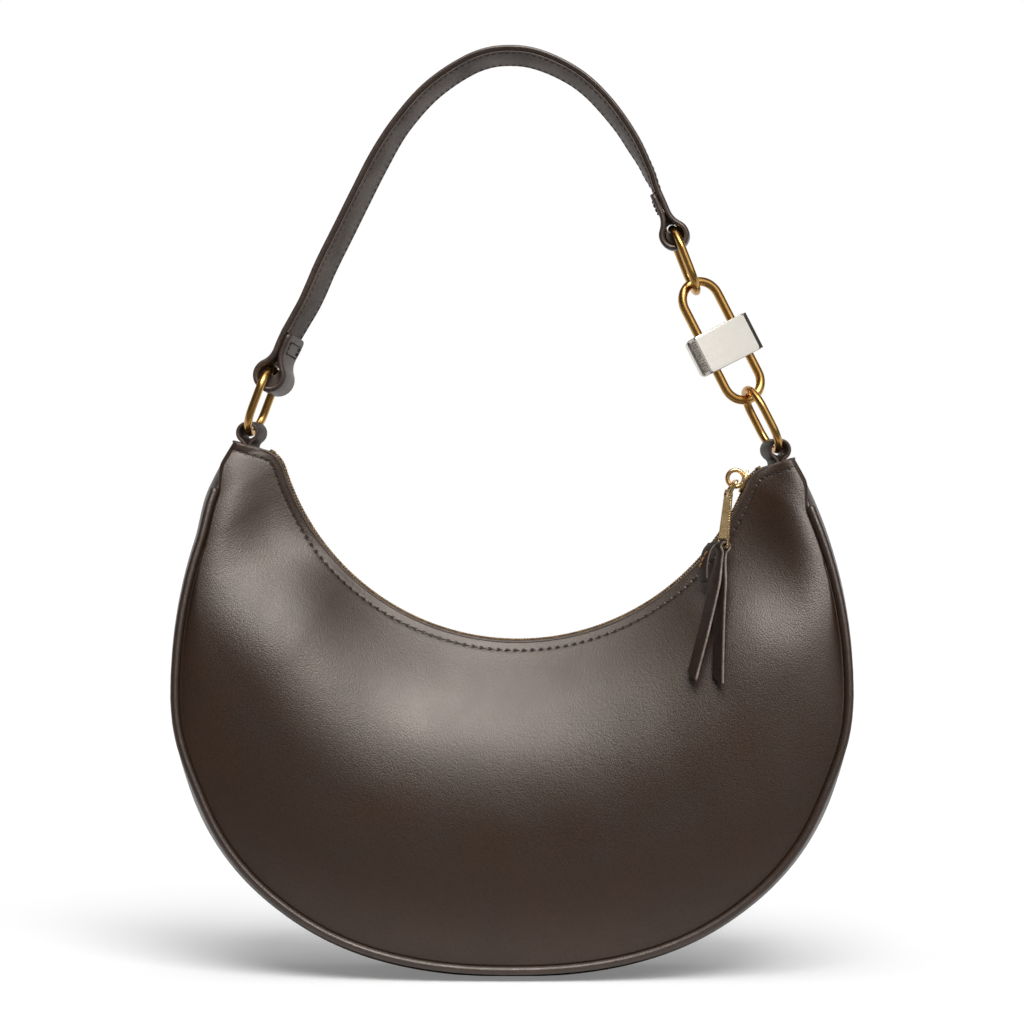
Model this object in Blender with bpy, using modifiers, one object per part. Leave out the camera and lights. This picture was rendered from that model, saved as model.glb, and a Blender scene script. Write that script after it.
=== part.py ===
"""Crescent shoulder bag with a leather handle, a brass chain link and a sliding lock block.

The origin is on the flat base, +X to the bag's right, +Y to its back and +Z up.
"""

import math

import bmesh
import bpy
from mathutils import Matrix, Vector

# General clearances and wall sizes
GAP = 0.0003
OVERRUN = 0.002
LEATHER = 0.0014
LINING_THICKNESS = 0.0006

# Outline of the body, seen from the front
BAG_WIDTH = 0.300
LOWER_REACH = 0.1264
UPPER_REACH = 0.180
BASE_FLAT = 0.0015
LOWER_POWER_SHARE = 2.25
UPPER_POWER_SHARE = 2.0
HORN_HEIGHT = 0.230
HORN_FALL = 0.0060
MOUTH_RADIUS = 0.108
MOUTH_CENTRE_HEIGHT = 0.2537
MOUTH_OFFSET = 0.0026
MOUTH_TILT_DEG = 1.75

# Depth of the body, front to back
BASE_HALF_DEPTH = 0.0300
HORN_HALF_DEPTH = 0.0090
MOUTH_HALF_DEPTH = 0.0075
CROWN = 0.0060
CROWN_SHARE = 0.62
DEPTH_POWER_SHARE = 3.0
SLOPE_POWER_SHARE = 0.85

# Seams and piping
PIPING_RADIUS = 0.0022
PIPING_INSET = 0.0044
PIPING_START = 0.0220
GUSSET_START = 0.0100
GUSSET_BULGE = 0.0032
TOP_EDGE_INSET = 0.0006
LINING_START = 0.0200
LINING_TOP = 0.0032
LINING_INSET = 0.0024
LINING_CORNER = 0.0045

# Zip
TEETH_HEIGHT = 0.0022
TEETH_PROUD = 0.0010
TEETH_WIDTH = 0.0018
TEETH_SPLIT = 0.0014
TAPE_THICKNESS = 0.0007
TAPE_DROP = 0.0003
ZIP_EXTENSION = 0.0045
STOP_LENGTH = 0.0024
STOP_WIDTH = 0.0054
STOP_THICKNESS = 0.0006
SLIDER_LENGTH = 0.0105
SLIDER_WIDTH = 0.0070
SLIDER_PLATE = 0.0010
SLIDER_WEB = 0.0008
SLIDER_WEB_LENGTH = 0.0045
SLIDER_BEVEL = 0.0003
SLIDER_BACK = 0.00504
EYE_HOLE_RADIUS = 0.00265
EYE_WIRE_RADIUS = 0.0010
BAIL_WIRE_RADIUS = 0.00075
BAIL_DROP = 0.0069
BAIL_CORNER = 0.0012
BAIL_ANGLE_DEG = -120.0
PULL_STANDOFF = 0.0056
PULL_WIDTH = 0.0070
PULL_LENGTH = 0.0235
PULL_THICKNESS = 0.0012
PULL_LEAN_DEG = -2.0
PULL_YAW_DEG = 36.0
PULL_RIM = 0.0012
SLOT_LENGTH = 0.0052
SLOT_HEIGHT = 0.0027
SLOT_RIM = 0.0015

# Tassel
TASSEL_THICKNESS = 0.0011
TASSEL_FILLET = 0.0030
TASSEL_NECK = 0.0036
TASSEL_WIDTH = 0.0078
TASSEL_FLARE = 0.0140
TASSEL_LENGTH = 0.0590
TASSEL_SPREAD = 0.0052
TASSEL_SPREAD_POWER_SHARE = 1.4
TASSEL_LEAN_DEG = -8.9
TASSEL_FORWARD = 0.0152
TASSEL_THREAD_DROP = 0.0062
THREAD_RADIUS = 0.0003
THREAD_SLACK = 0.0012

# Rings, link and lock
RING_RADIUS = 0.0102
RING_STRAIGHT = 0.0090
RING_WIRE_RADIUS = 0.0018
RING_SEAT = 0.0002
RING_TURN_DEG = 12.0
UPPER_RING_TURN_DEG = 2.0
LEFT_RING_LEAN_DEG = -20.5
LOWER_RING_LEAN_DEG = 27.0
UPPER_RING_LEAN_DEG = 21.4
LINK_LEAN_DEG = 27.1
LINK_YAW_DEG = 21.5
LINK_RADIUS = 0.0089
LINK_STRAIGHT = 0.0392
LINK_WIRE_RADIUS = 0.0020
LOCK_WIDTH = 0.0284
LOCK_LENGTH = 0.0176
LOCK_FRONT_DEPTH = 0.0046
LOCK_BACK_DEPTH = 0.0035
LOCK_FRONT_PLATE = 0.0010
LOCK_BACK_PLATE = 0.0027
LOCK_PLATE_WIDTH = 0.0268
LOCK_BEVEL = 0.0006
PLATE_EDGE_SHARE = 0.25

# Tabs on the horns
TAB_HOLE_RADIUS = 0.0035
TAB_THICKNESS = 0.0015
TAB_WIDTH = 0.0086
TAB_FILLET = 0.0030
TAB_STEM = 0.0170
TAB_TRIM = 0.0003
LEFT_TAB_INSET = 0.003984
RIGHT_TAB_INSET = 0.007046
TAB_RISE = 0.0037

# Strap
STRAP_WIDTH = 0.0154
STRAP_THICKNESS = 0.0025
STRAP_HOLE_RADIUS = 0.0048
STRAP_FILLET = 0.0100
STRAP_SEAT = 0.0072
STRAP_TAIL = 0.0195
STRAP_LEG = 0.0205
STRAP_RISE = 0.1056
STRAP_TRIM = 0.0005
STRAP_LINING = 0.0006
STRAP_LINING_WIDTH = 0.0144
LEFT_LEG_LEAN_DEG = -23.6
RIGHT_LEG_LEAN_DEG = 26.6
TACK_WIDTH = 0.0100
TACK_LENGTH = 0.0045
TACK_PLACE = 0.0125

# Counts of the faceted surfaces
OUTLINE_SAMPLES = 240
BODY_COLUMNS = 44
BODY_ROWS = 9
LINING_ROWS = 8
GUSSET_ROWS = 9
PIPING_POINTS = 52
ARCH_POINTS = 34
ZIP_POINTS = 40
ARC_STEPS = 12
TASSEL_POINTS = 12
ROD_SEGMENTS = 24
EYE_SEGMENTS = 28
EYE_SIDES = 10
CORNER_STEPS = 4
WIRE_SIDES = 2
THREAD_SIDES = 0
SHARP_ANGLE_DEG = 40.0

# Places along the strap, as shares of its chord and of its rise
ARCH_SHARES = (
    (0.170, 0.351),
    (0.269, 0.532),
    (0.390, 0.737),
    (0.572, 0.947),
    (0.734, 0.993),
    (0.894, 0.831),
    (0.968, 0.578),
    (0.998, 0.368),
)

# Turn of the strap's width, in degrees, at shares of the arch's length
STRAP_TURN_DEG = ((0.0, 12.0), (0.12, 20.0), (0.5, 14.5), (0.72, 9.5), (0.86, 3.5), (1.0, -4.0))

# Colours
BROWN = (0.035, 0.020, 0.014, 1.0)
DARK_BROWN = (0.018, 0.010, 0.008, 1.0)
CLOTH_BROWN = (0.060, 0.040, 0.030, 1.0)
THREAD_BROWN = (0.070, 0.040, 0.025, 1.0)
THREAD_TAN = (0.350, 0.150, 0.040, 1.0)
BRASS = (0.480, 0.270, 0.075, 1.0)
GOLD = (0.700, 0.450, 0.160, 1.0)
CHAMPAGNE = (0.720, 0.680, 0.600, 1.0)


def remove_scene_objects():
    for item in list(bpy.data.objects):
        bpy.data.objects.remove(item)


def new_collection(name):
    made = bpy.data.collections.new(name)
    bpy.context.scene.collection.children.link(made)
    return made


def material(name, colour, roughness, metallic):
    made = bpy.data.materials.new(name)
    made.use_nodes = True
    shader = made.node_tree.nodes["Principled BSDF"]
    shader.inputs["Base Color"].default_value = colour
    shader.inputs["Roughness"].default_value = roughness
    shader.inputs["Metallic"].default_value = metallic
    made.diffuse_color = colour
    return made


remove_scene_objects()
PARTS = new_collection("chain_shoulder_bag")
CUTTERS = new_collection("cutters")


def lerp(a, b, share):
    return a + (b - a) * share


def smooth(share):
    share = min(max(share, 0.0), 1.0)
    return share * share * (3 - 2 * share)


def right_of(direction):
    """The planar direction to the right of a planar direction."""
    return Vector((direction.y, -direction.x))


def left_of(direction):
    return Vector((-direction.y, direction.x))


def leaning(angle_deg):
    """The planar unit vector that leans by this angle from upright, positive to the left."""
    angle = math.radians(angle_deg)
    return Vector((-math.sin(angle), math.cos(angle)))


def in_space(point, y=0.0):
    return Vector((point.x, y, point.y))


def lengths_along(points):
    total = [0.0]
    for before, after in zip(points, points[1:]):
        total.append(total[-1] + (after - before).length)
    return total


def at_length(points, total, wanted):
    for i in range(1, len(points)):
        if total[i] >= wanted:
            span = total[i] - total[i - 1]
            share = (wanted - total[i - 1]) / span if span else 0.0
            return points[i - 1].lerp(points[i], share)
    return points[-1].copy()


def resampled(points, count):
    total = lengths_along(points)
    return [at_length(points, total, total[-1] * i / (count - 1)) for i in range(count)]


def tangents(points):
    found = []
    for i in range(len(points)):
        before = points[max(i - 1, 0)]
        after = points[min(i + 1, len(points) - 1)]
        found.append((after - before).normalized())
    return found


def spline(points, steps):
    """A smooth curve through all the points but the first and last, which only steer it."""
    made = []
    for a, b, c, d in zip(points, points[1:], points[2:], points[3:]):
        for step in range(steps):
            t = step / steps
            made.append(
                0.5
                * (
                    2 * b
                    + (c - a) * t
                    + (2 * a - 5 * b + 4 * c - d) * t**2
                    + (3 * b - a - 3 * c + d) * t**3
                )
            )
    made.append(points[-2].copy())
    return made


def link_part(item, look, axis=None):
    for owner in list(item.users_collection):
        owner.objects.unlink(item)
    PARTS.objects.link(item)
    item.data.materials.clear()
    item.data.materials.append(look)
    if axis:
        item.parent = axis
        item.matrix_parent_inverse = Matrix.Translation(-Vector(axis["place"]))
    return item


def axis_at(name, place, parent=None):
    """An empty on a joint's axis, for the pieces that turn or slide on it."""
    made = bpy.data.objects.new(name, None)
    made.empty_display_size = RING_RADIUS
    made["place"] = tuple(place)
    PARTS.objects.link(made)
    if parent:
        made.parent = parent
        made.matrix_parent_inverse = Matrix.Translation(-Vector(parent["place"]))
    made.location = place
    return made


def mesh_part(name, points, faces, look, axis=None):
    mesh = bpy.data.meshes.new(name)
    mesh.from_pydata([tuple(p) for p in points], [], faces)
    shell = bmesh.new()
    shell.from_mesh(mesh)
    bmesh.ops.recalc_face_normals(shell, faces=shell.faces)
    shell.to_mesh(mesh)
    shell.free()
    mesh.shade_smooth()
    mesh.set_sharp_from_angle(angle=math.radians(SHARP_ANGLE_DEG))
    return link_part(bpy.data.objects.new(name, mesh), look, axis)


def skin_part(name, grid, thickness, look, facing):
    """A shell whose outer skin is a grid of points and whose wall goes inwards."""
    wide = len(grid[0])
    points = [p for line in grid for p in line]
    faces = []
    for i in range(len(grid) - 1):
        for j in range(wide - 1):
            a = i * wide + j
            quad = (a, a + 1, a + wide + 1, a + wide)
            faces.append(quad if facing > 0 else quad[::-1])
    mesh = bpy.data.meshes.new(name)
    mesh.from_pydata([tuple(p) for p in points], [], faces)
    mesh.shade_smooth()
    made = link_part(bpy.data.objects.new(name, mesh), look)
    wall = made.modifiers.new("Wall", "SOLIDIFY")
    wall.thickness = thickness
    wall.offset = -1
    wall.use_even_offset = True
    return made


def wire_part(name, points, radius, look, axis=None, closed=False, sides=WIRE_SIDES):
    """A round wire through points in space."""
    data = bpy.data.curves.new(name, "CURVE")
    data.dimensions = "3D"
    data.bevel_depth = radius
    data.bevel_resolution = sides
    data.use_fill_caps = True
    line = data.splines.new("POLY")
    line.points.add(len(points) - 1)
    for slot, place in zip(line.points, points):
        slot.co = (*place, 1)
    line.use_cyclic_u = closed
    return link_part(bpy.data.objects.new(name, data), look, axis)


def ribbon_part(name, path, look, axis=None, **size):
    """A strip whose outer face follows a planar path, and whose depth goes to the path's right.

    depth holds how deep it starts and ends, half_width, middle_y and shift are values or lists
    along the path, shift moves the section in the plane for each unit of y.
    """
    count = len(path)

    def along(key, fallback):
        value = size.get(key, fallback)
        return value if isinstance(value, list) else [value] * count

    near, far = size["depth"]
    trim = size.get("trim", 0.0)
    half = along("half_width", None)
    middle = along("middle_y", 0.0)
    shift = along("shift", Vector((0, 0)))
    normals = [right_of(t) for t in tangents(path)]
    points = []
    for i in range(count):
        w = half[i]
        corners = [(near, trim - w), (near, w - trim), (far, w - trim), (far, trim - w)]
        if trim:
            corners = [
                (near, trim - w),
                (near, w - trim),
                (near + trim, w),
                (far - trim, w),
                (far, w - trim),
                (far, trim - w),
                (far - trim, -w),
                (near + trim, -w),
            ]
        for depth, across in corners:
            flat = path[i] + normals[i] * depth + shift[i] * across
            points.append(in_space(flat, middle[i] + across))
    ring = len(points) // count
    faces = [tuple(range(ring)), tuple(range(len(points) - 1, len(points) - ring - 1, -1))]
    for i in range(count - 1):
        for j in range(ring):
            a = i * ring + j
            b = i * ring + (j + 1) % ring
            faces.append((a, b, b + ring, a + ring))
    return mesh_part(name, points, faces, look, axis)


def as_cutter(item):
    for owner in list(item.users_collection):
        owner.objects.unlink(item)
    CUTTERS.objects.link(item)
    item.hide_render = True
    item.display_type = "WIRE"
    return item


def combine(target, other, operation):
    step = target.modifiers.new(operation.title(), "BOOLEAN")
    step.operation = operation
    step.object = as_cutter(other)
    step.solver = "EXACT"


def frame_matrix(place, x_axis, y_axis, z_axis):
    turned = Matrix((x_axis, y_axis, z_axis)).transposed().to_4x4()
    return Matrix.Translation(place) @ turned


def box(name, size, matrix):
    """A box mesh of this size, placed by a matrix, with its scale already applied."""
    shape = bmesh.new()
    bmesh.ops.create_cube(shape, size=1, matrix=Matrix.Diagonal((*size, 1)))
    mesh = bpy.data.meshes.new(name)
    shape.to_mesh(mesh)
    shape.free()
    made = bpy.data.objects.new(name, mesh)
    PARTS.objects.link(made)
    made.matrix_world = matrix
    return made


def rod(name, radius, length, matrix):
    """A cylinder along the local Z of a matrix."""
    shape = bmesh.new()
    bmesh.ops.create_cone(
        shape, cap_ends=True, segments=ROD_SEGMENTS, radius1=radius, radius2=radius, depth=length
    )
    mesh = bpy.data.meshes.new(name)
    shape.to_mesh(mesh)
    shape.free()
    mesh.shade_smooth()
    mesh.set_sharp_from_angle(angle=math.radians(SHARP_ANGLE_DEG))
    made = bpy.data.objects.new(name, mesh)
    PARTS.objects.link(made)
    made.matrix_world = matrix
    return made


def rounded(item, width, segments=2):
    edge = item.modifiers.new("Edge", "BEVEL")
    edge.width = width
    edge.segments = segments
    edge.limit_method = "ANGLE"


# The body's outline and its mouth, as planar curves from the left horn to the right

WIDEST_HEIGHT = LOWER_REACH - BASE_FLAT
MOUTH_CENTRE = Vector((MOUTH_OFFSET, MOUTH_CENTRE_HEIGHT))


def power_curve(reach, power, angle):
    half = BAG_WIDTH / 2
    x = half * math.cos(angle) ** (2 / power)
    z = reach * math.sin(angle) ** (2 / power)
    return x, z


def horn_angle(height):
    share = (height - WIDEST_HEIGHT) / UPPER_REACH
    return math.asin(share ** (UPPER_POWER_SHARE / 2))


LEVEL_HORN_REACH = power_curve(UPPER_REACH, UPPER_POWER_SHARE, horn_angle(HORN_HEIGHT))[0]
HORN_TILT = LEVEL_HORN_REACH * math.tan(math.radians(MOUTH_TILT_DEG))
HORN_HEIGHTS = (HORN_HEIGHT + HORN_TILT, HORN_HEIGHT - HORN_TILT)


def outline():
    """The silhouette from the left horn, down round the bottom, to the right horn."""
    points = []
    quarter = OUTLINE_SAMPLES // 4
    for side, height in zip((-1, 1), HORN_HEIGHTS):
        half = []
        top = horn_angle(height)
        for i in range(quarter):
            x, z = power_curve(UPPER_REACH, UPPER_POWER_SHARE, top * (1 - i / quarter))
            half.append(Vector((side * x, WIDEST_HEIGHT + z)))
        for i in range(quarter + 1):
            x, z = power_curve(LOWER_REACH, LOWER_POWER_SHARE, math.pi / 2 * i / quarter)
            half.append(Vector((side * x, WIDEST_HEIGHT - z)))
        points += half if side < 0 else half[-2::-1]
    return points


def mouth_angles():
    """The directions, from the mouth's centre, in which the mouth's arc starts and ends."""
    drops = [MOUTH_CENTRE_HEIGHT - height + HORN_FALL for height in HORN_HEIGHTS]
    dips = [math.asin(drop / MOUTH_RADIUS) for drop in drops]
    return math.pi + dips[0], 2 * math.pi - dips[1]


def mouth_point(angle, radius=MOUTH_RADIUS):
    return MOUTH_CENTRE + radius * Vector((math.cos(angle), math.sin(angle)))


OUTLINE = outline()
OUTLINE_LENGTHS = lengths_along(OUTLINE)
OUTLINE_LENGTH = OUTLINE_LENGTHS[-1]
MOUTH_START, MOUTH_END = mouth_angles()


def column_shares(start):
    """Places along the outline, as shares, closer together near the horns."""
    low = start / OUTLINE_LENGTH
    shares = []
    for i in range(BODY_COLUMNS + 1):
        even = i / BODY_COLUMNS
        eased = (1 - math.cos(math.pi * even)) / 2
        shares.append(low + (1 - 2 * low) * (even + eased) / 2)
    return shares


def half_depth(height):
    share = min(max(height / HORN_HEIGHT, 0.0), 1.0)
    return lerp(BASE_HALF_DEPTH, HORN_HALF_DEPTH, share**DEPTH_POWER_SHARE)


class Column:
    """One section across the body, at a share of the outline's length."""

    def __init__(self, share):
        here = share * OUTLINE_LENGTH
        step = OUTLINE_LENGTH / OUTLINE_SAMPLES
        before = at_length(OUTLINE, OUTLINE_LENGTHS, max(here - step, 0.0))
        after = at_length(OUTLINE, OUTLINE_LENGTHS, min(here + step, OUTLINE_LENGTH))
        self.outer = at_length(OUTLINE, OUTLINE_LENGTHS, here)
        self.inward = left_of((after - before).normalized())
        self.depth = half_depth(self.outer.y)
        self.from_horn = min(here, OUTLINE_LENGTH - here)
        clear = PIPING_INSET + PIPING_RADIUS + 2 * GAP
        ramp_end = PIPING_START - PIPING_RADIUS
        ramp = smooth((self.from_horn - GUSSET_START) / (ramp_end - GUSSET_START))
        self.edge = self.outer + self.inward * lerp(TOP_EDGE_INSET, clear, ramp)
        self.mouth = mouth_point(lerp(MOUTH_START, MOUTH_END, share))
        self.reach = (self.mouth - self.edge).length

    def gusset_half(self):
        return self.depth - PIPING_RADIUS - GAP

    def panel_depth(self, from_mouth):
        """How far the panel's outer face stands from the middle plane."""
        crown = CROWN * self.reach / (MOUTH_CENTRE_HEIGHT - MOUTH_RADIUS)
        full = self.depth + crown
        crest = CROWN_SHARE * self.reach
        if from_mouth < crest:
            rise = (from_mouth / crest) ** SLOPE_POWER_SHARE
            return lerp(MOUTH_HALF_DEPTH, full, (1 - math.cos(math.pi * rise)) / 2)
        fall = (from_mouth - crest) / (self.reach - crest)
        return lerp(full, self.depth, fall * fall)


def panel_grid(side):
    grid = []
    for share in column_shares(0.0):
        column = Column(share)
        line = []
        for row in range(BODY_ROWS + 1):
            from_mouth = column.reach * (1 - row / BODY_ROWS)
            flat = column.mouth.lerp(column.edge, from_mouth / column.reach)
            line.append(in_space(flat, side * column.panel_depth(from_mouth)))
        grid.append(line)
    return grid


def gusset_grid():
    grid = []
    for share in column_shares(GUSSET_START):
        column = Column(share)
        line = []
        for row in range(GUSSET_ROWS):
            across = 2 * row / (GUSSET_ROWS - 1) - 1
            flat = column.outer + column.inward * (GUSSET_BULGE * across * across)
            flat.y = max(flat.y, 0.0)
            line.append(in_space(flat, across * column.gusset_half()))
        grid.append(line)
    return grid


def lining_grid():
    grid = []
    corner_inset = GUSSET_BULGE + LEATHER + LINING_INSET
    for share in column_shares(LINING_START):
        column = Column(share)
        deepest = column.reach - LINING_CORNER
        front = []
        for row in range(LINING_ROWS):
            from_mouth = lerp(LINING_TOP, deepest, row / (LINING_ROWS - 1))
            flat = column.mouth.lerp(column.edge, from_mouth / column.reach)
            front.append((flat, column.panel_depth(from_mouth) - LINING_INSET))
        floor = column.outer + column.inward * corner_inset
        floor_half = column.depth - LINING_CORNER
        line = [in_space(flat, -depth) for flat, depth in front]
        line += [in_space(floor, floor_half * across) for across in (-1, 0, 1)]
        line += [in_space(flat, depth) for flat, depth in reversed(front)]
        grid.append(line)
    return grid


def piping_points(side):
    points = []
    low = PIPING_START / OUTLINE_LENGTH
    for i in range(PIPING_POINTS):
        column = Column(lerp(low, 1 - low, i / (PIPING_POINTS - 1)))
        flat = column.outer + column.inward * PIPING_INSET
        points.append(in_space(flat, side * column.depth))
    return points


def build_body():
    leather = material("body_leather", BROWN, 0.42, 0.0)
    cord = material("piping_leather", BROWN, 0.40, 0.0)
    cloth = material("lining_cloth", CLOTH_BROWN, 0.85, 0.0)
    skin_part("front_panel", panel_grid(-1), LEATHER, leather, -1)
    skin_part("back_panel", panel_grid(1), LEATHER, leather, 1)
    skin_part("gusset", gusset_grid(), LEATHER, leather, 1)
    skin_part("lining", lining_grid(), LINING_THICKNESS, cloth, 1)
    wire_part("front_piping", piping_points(-1), PIPING_RADIUS, cord)
    wire_part("back_piping", piping_points(1), PIPING_RADIUS, cord)


def build_zip():
    cloth = material("zip_tape", DARK_BROWN, 0.8, 0.0)
    coil = material("zip_teeth", DARK_BROWN, 0.45, 0.0)
    metal = material("zip_metal", GOLD, 0.25, 1.0)
    extra = ZIP_EXTENSION / MOUTH_RADIUS
    start = MOUTH_START - extra
    end = MOUTH_END + extra
    teeth_top = MOUTH_RADIUS - TEETH_PROUD
    tape_top = MOUTH_RADIUS + TAPE_DROP
    tape_outer = MOUTH_HALF_DEPTH - LEATHER - GAP
    teeth_outer = TEETH_SPLIT / 2 + TEETH_WIDTH
    tape_inner = teeth_outer + GAP

    def arc(radius, first, last, count):
        steps = range(count)
        return [mouth_point(lerp(first, last, i / (count - 1)), radius) for i in steps]

    for name, side in (("front", -1), ("back", 1)):
        ribbon_part(
            "zip_tape_" + name,
            arc(tape_top, start, end, ZIP_POINTS),
            cloth,
            depth=(0.0, TAPE_THICKNESS),
            half_width=(tape_outer - tape_inner) / 2,
            middle_y=side * (tape_outer + tape_inner) / 2,
        )
        ribbon_part(
            "zip_teeth_" + name,
            arc(teeth_top, start, end, ZIP_POINTS),
            coil,
            depth=(0.0, TEETH_HEIGHT),
            half_width=TEETH_WIDTH / 2,
            middle_y=side * (teeth_outer + TEETH_SPLIT / 2) / 2,
        )
    stop_turn = STOP_LENGTH / MOUTH_RADIUS
    stop_radius = teeth_top - GAP - STOP_THICKNESS
    for name, first in (("left", start), ("right", end - stop_turn)):
        ribbon_part(
            "zip_stop_" + name,
            arc(stop_radius, first, first + stop_turn, 3),
            metal,
            depth=(0.0, STOP_THICKNESS),
            half_width=STOP_WIDTH / 2,
        )


SLIDER_ANGLE = MOUTH_END - SLIDER_BACK / MOUTH_RADIUS
SLIDER_OUTWARD = mouth_point(SLIDER_ANGLE, 1.0) - MOUTH_CENTRE
SLIDER_TOP_RADIUS = MOUTH_RADIUS - TEETH_PROUD - GAP - SLIDER_PLATE / 2
SLIDER_BASE_RADIUS = MOUTH_RADIUS - TEETH_PROUD + TEETH_HEIGHT + GAP + SLIDER_PLATE / 2
EYE_RADIUS = EYE_HOLE_RADIUS + EYE_WIRE_RADIUS
EYE_CENTRE = MOUTH_CENTRE + SLIDER_OUTWARD * (SLIDER_TOP_RADIUS - EYE_RADIUS)
BAIL_ANGLE = math.radians(BAIL_ANGLE_DEG)
BAIL_DOWN = Vector((math.cos(BAIL_ANGLE), math.sin(BAIL_ANGLE)))
BAIL_TOP = EYE_HOLE_RADIUS - GAP - BAIL_WIRE_RADIUS
BAIL_BACK_Y = EYE_WIRE_RADIUS + GAP + BAIL_WIRE_RADIUS
BAR_CENTRE = EYE_CENTRE + BAIL_DOWN * (BAIL_TOP + BAIL_DROP)
PULL_NEAR_Y = -(MOUTH_HALF_DEPTH + PULL_STANDOFF)
PULL_FAR_Y = PULL_NEAR_Y - PULL_WIDTH
PULL_MIDDLE_Y = (PULL_NEAR_Y + PULL_FAR_Y) / 2
BAIL_FRONT_Y = PULL_FAR_Y - GAP - BAIL_CORNER
PULL_DOWN = -leaning(PULL_LEAN_DEG)
RIM_CENTRE = BAR_CENTRE + PULL_DOWN * (PULL_LENGTH - SLOT_RIM / 2)
PULL_YAW = math.radians(PULL_YAW_DEG)


def build_slider(axis):
    metal = material("slider_metal", GOLD, 0.25, 1.0)
    outward = in_space(SLIDER_OUTWARD)
    side = Vector((0, 1, 0))
    up = -outward
    forward = side.cross(up)

    def at_radius(radius):
        return frame_matrix(in_space(MOUTH_CENTRE) + outward * radius, forward, side, up)

    plate = (SLIDER_LENGTH, SLIDER_WIDTH, SLIDER_PLATE)
    slider = box("zip_slider", plate, at_radius(SLIDER_TOP_RADIUS))
    rounded(slider, SLIDER_BEVEL)
    base = box("slider_base", plate, at_radius(SLIDER_BASE_RADIUS))
    rounded(base, SLIDER_BEVEL)
    combine(slider, base, "UNION")
    web_size = (SLIDER_WEB_LENGTH, SLIDER_WEB, SLIDER_BASE_RADIUS - SLIDER_TOP_RADIUS)
    middle = (SLIDER_BASE_RADIUS + SLIDER_TOP_RADIUS) / 2
    combine(slider, box("slider_web", web_size, at_radius(middle)), "UNION")
    bpy.ops.mesh.primitive_torus_add(
        major_radius=EYE_RADIUS,
        minor_radius=EYE_WIRE_RADIUS,
        major_segments=EYE_SEGMENTS,
        minor_segments=EYE_SIDES,
        location=in_space(EYE_CENTRE),
        rotation=(math.pi / 2, 0, 0),
    )
    combine(slider, bpy.context.object, "UNION")
    link_part(slider, metal, axis)


def rounded_loop(a_low, a_high, b_low, b_high, corner):
    """A rectangle with round corners, as points in its own plane."""
    points = []
    middles = (
        (a_high - corner, b_high - corner),
        (a_low + corner, b_high - corner),
        (a_low + corner, b_low + corner),
        (a_high - corner, b_low + corner),
    )
    for turn, (a, b) in enumerate(middles):
        for step in range(CORNER_STEPS + 1):
            angle = math.pi / 2 * (turn + step / CORNER_STEPS)
            points.append((a + corner * math.cos(angle), b + corner * math.sin(angle)))
    return points


def build_pull(bail_axis, pull_axis):
    metal = material("pull_metal", GOLD, 0.28, 1.0)
    bail_bottom = BAIL_TOP + BAIL_DROP
    loop = rounded_loop(BAIL_FRONT_Y, BAIL_BACK_Y, BAIL_TOP, bail_bottom, BAIL_CORNER)
    places = [in_space(EYE_CENTRE + BAIL_DOWN * b, a) for a, b in loop]
    wire_part("zip_bail", places, BAIL_WIRE_RADIUS, metal, bail_axis, closed=True)

    up = in_space(-PULL_DOWN)
    level = Vector((0, 1, 0)).cross(up)
    side = Vector((0, math.cos(PULL_YAW), 0)) - level * math.sin(PULL_YAW)
    facing = side.cross(up)
    bar_half = BAIL_WIRE_RADIUS + GAP
    bar_slot = 2 * bar_half / math.sin(PULL_YAW) + PULL_THICKNESS / math.tan(PULL_YAW)
    head = bar_half + PULL_RIM

    def pull_frame(drop):
        place = in_space(BAR_CENTRE + PULL_DOWN * drop, PULL_MIDDLE_Y)
        return frame_matrix(place, facing, side, up)

    size = (PULL_THICKNESS, PULL_WIDTH, head + PULL_LENGTH)
    pull = box("zip_pull", size, pull_frame((PULL_LENGTH - head) / 2))
    slots = (
        ("bail_slot", 0.0, bar_slot, 2 * bar_half),
        ("tassel_slot", PULL_LENGTH - SLOT_RIM - SLOT_HEIGHT / 2, SLOT_LENGTH, SLOT_HEIGHT),
    )
    for name, drop, length, height in slots:
        slot = box(name, (PULL_THICKNESS + OVERRUN, length, height), pull_frame(drop))
        combine(pull, slot, "DIFFERENCE")
    link_part(pull, metal, pull_axis)


def fold_path(hole_radius, thickness, fillet, first_leg, last_leg):
    """The outer face of a strip folded round a ring, in its own plane.

    It comes down the left leg, goes round under the ring and runs up the right leg.
    """
    outer = hole_radius + thickness
    leg = GAP / 2 + thickness
    neck = math.sqrt((outer + fillet) ** 2 - (leg + fillet) ** 2)
    meet = math.atan2(neck, leg + fillet)
    points = [Vector((-leg, first_leg))] if first_leg > neck else []
    for i in range(ARC_STEPS // 2):
        angle = -meet * i / (ARC_STEPS // 2)
        points.append(
            Vector((-leg - fillet + fillet * math.cos(angle), neck + fillet * math.sin(angle)))
        )
    sweep = math.pi + 2 * meet
    for i in range(2 * ARC_STEPS + 1):
        angle = math.pi - meet + sweep * i / (2 * ARC_STEPS)
        points.append(Vector((outer * math.cos(angle), outer * math.sin(angle))))
    for i in range(ARC_STEPS // 2 - 1, -1, -1):
        angle = -meet * i / (ARC_STEPS // 2)
        points.append(
            Vector((leg + fillet - fillet * math.cos(angle), neck + fillet * math.sin(angle)))
        )
    if last_leg > neck:
        points.append(Vector((leg, last_leg)))
    return points


def placed(points, origin, u_axis, v_axis):
    return [origin + u_axis * p.x + v_axis * p.y for p in points]


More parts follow.
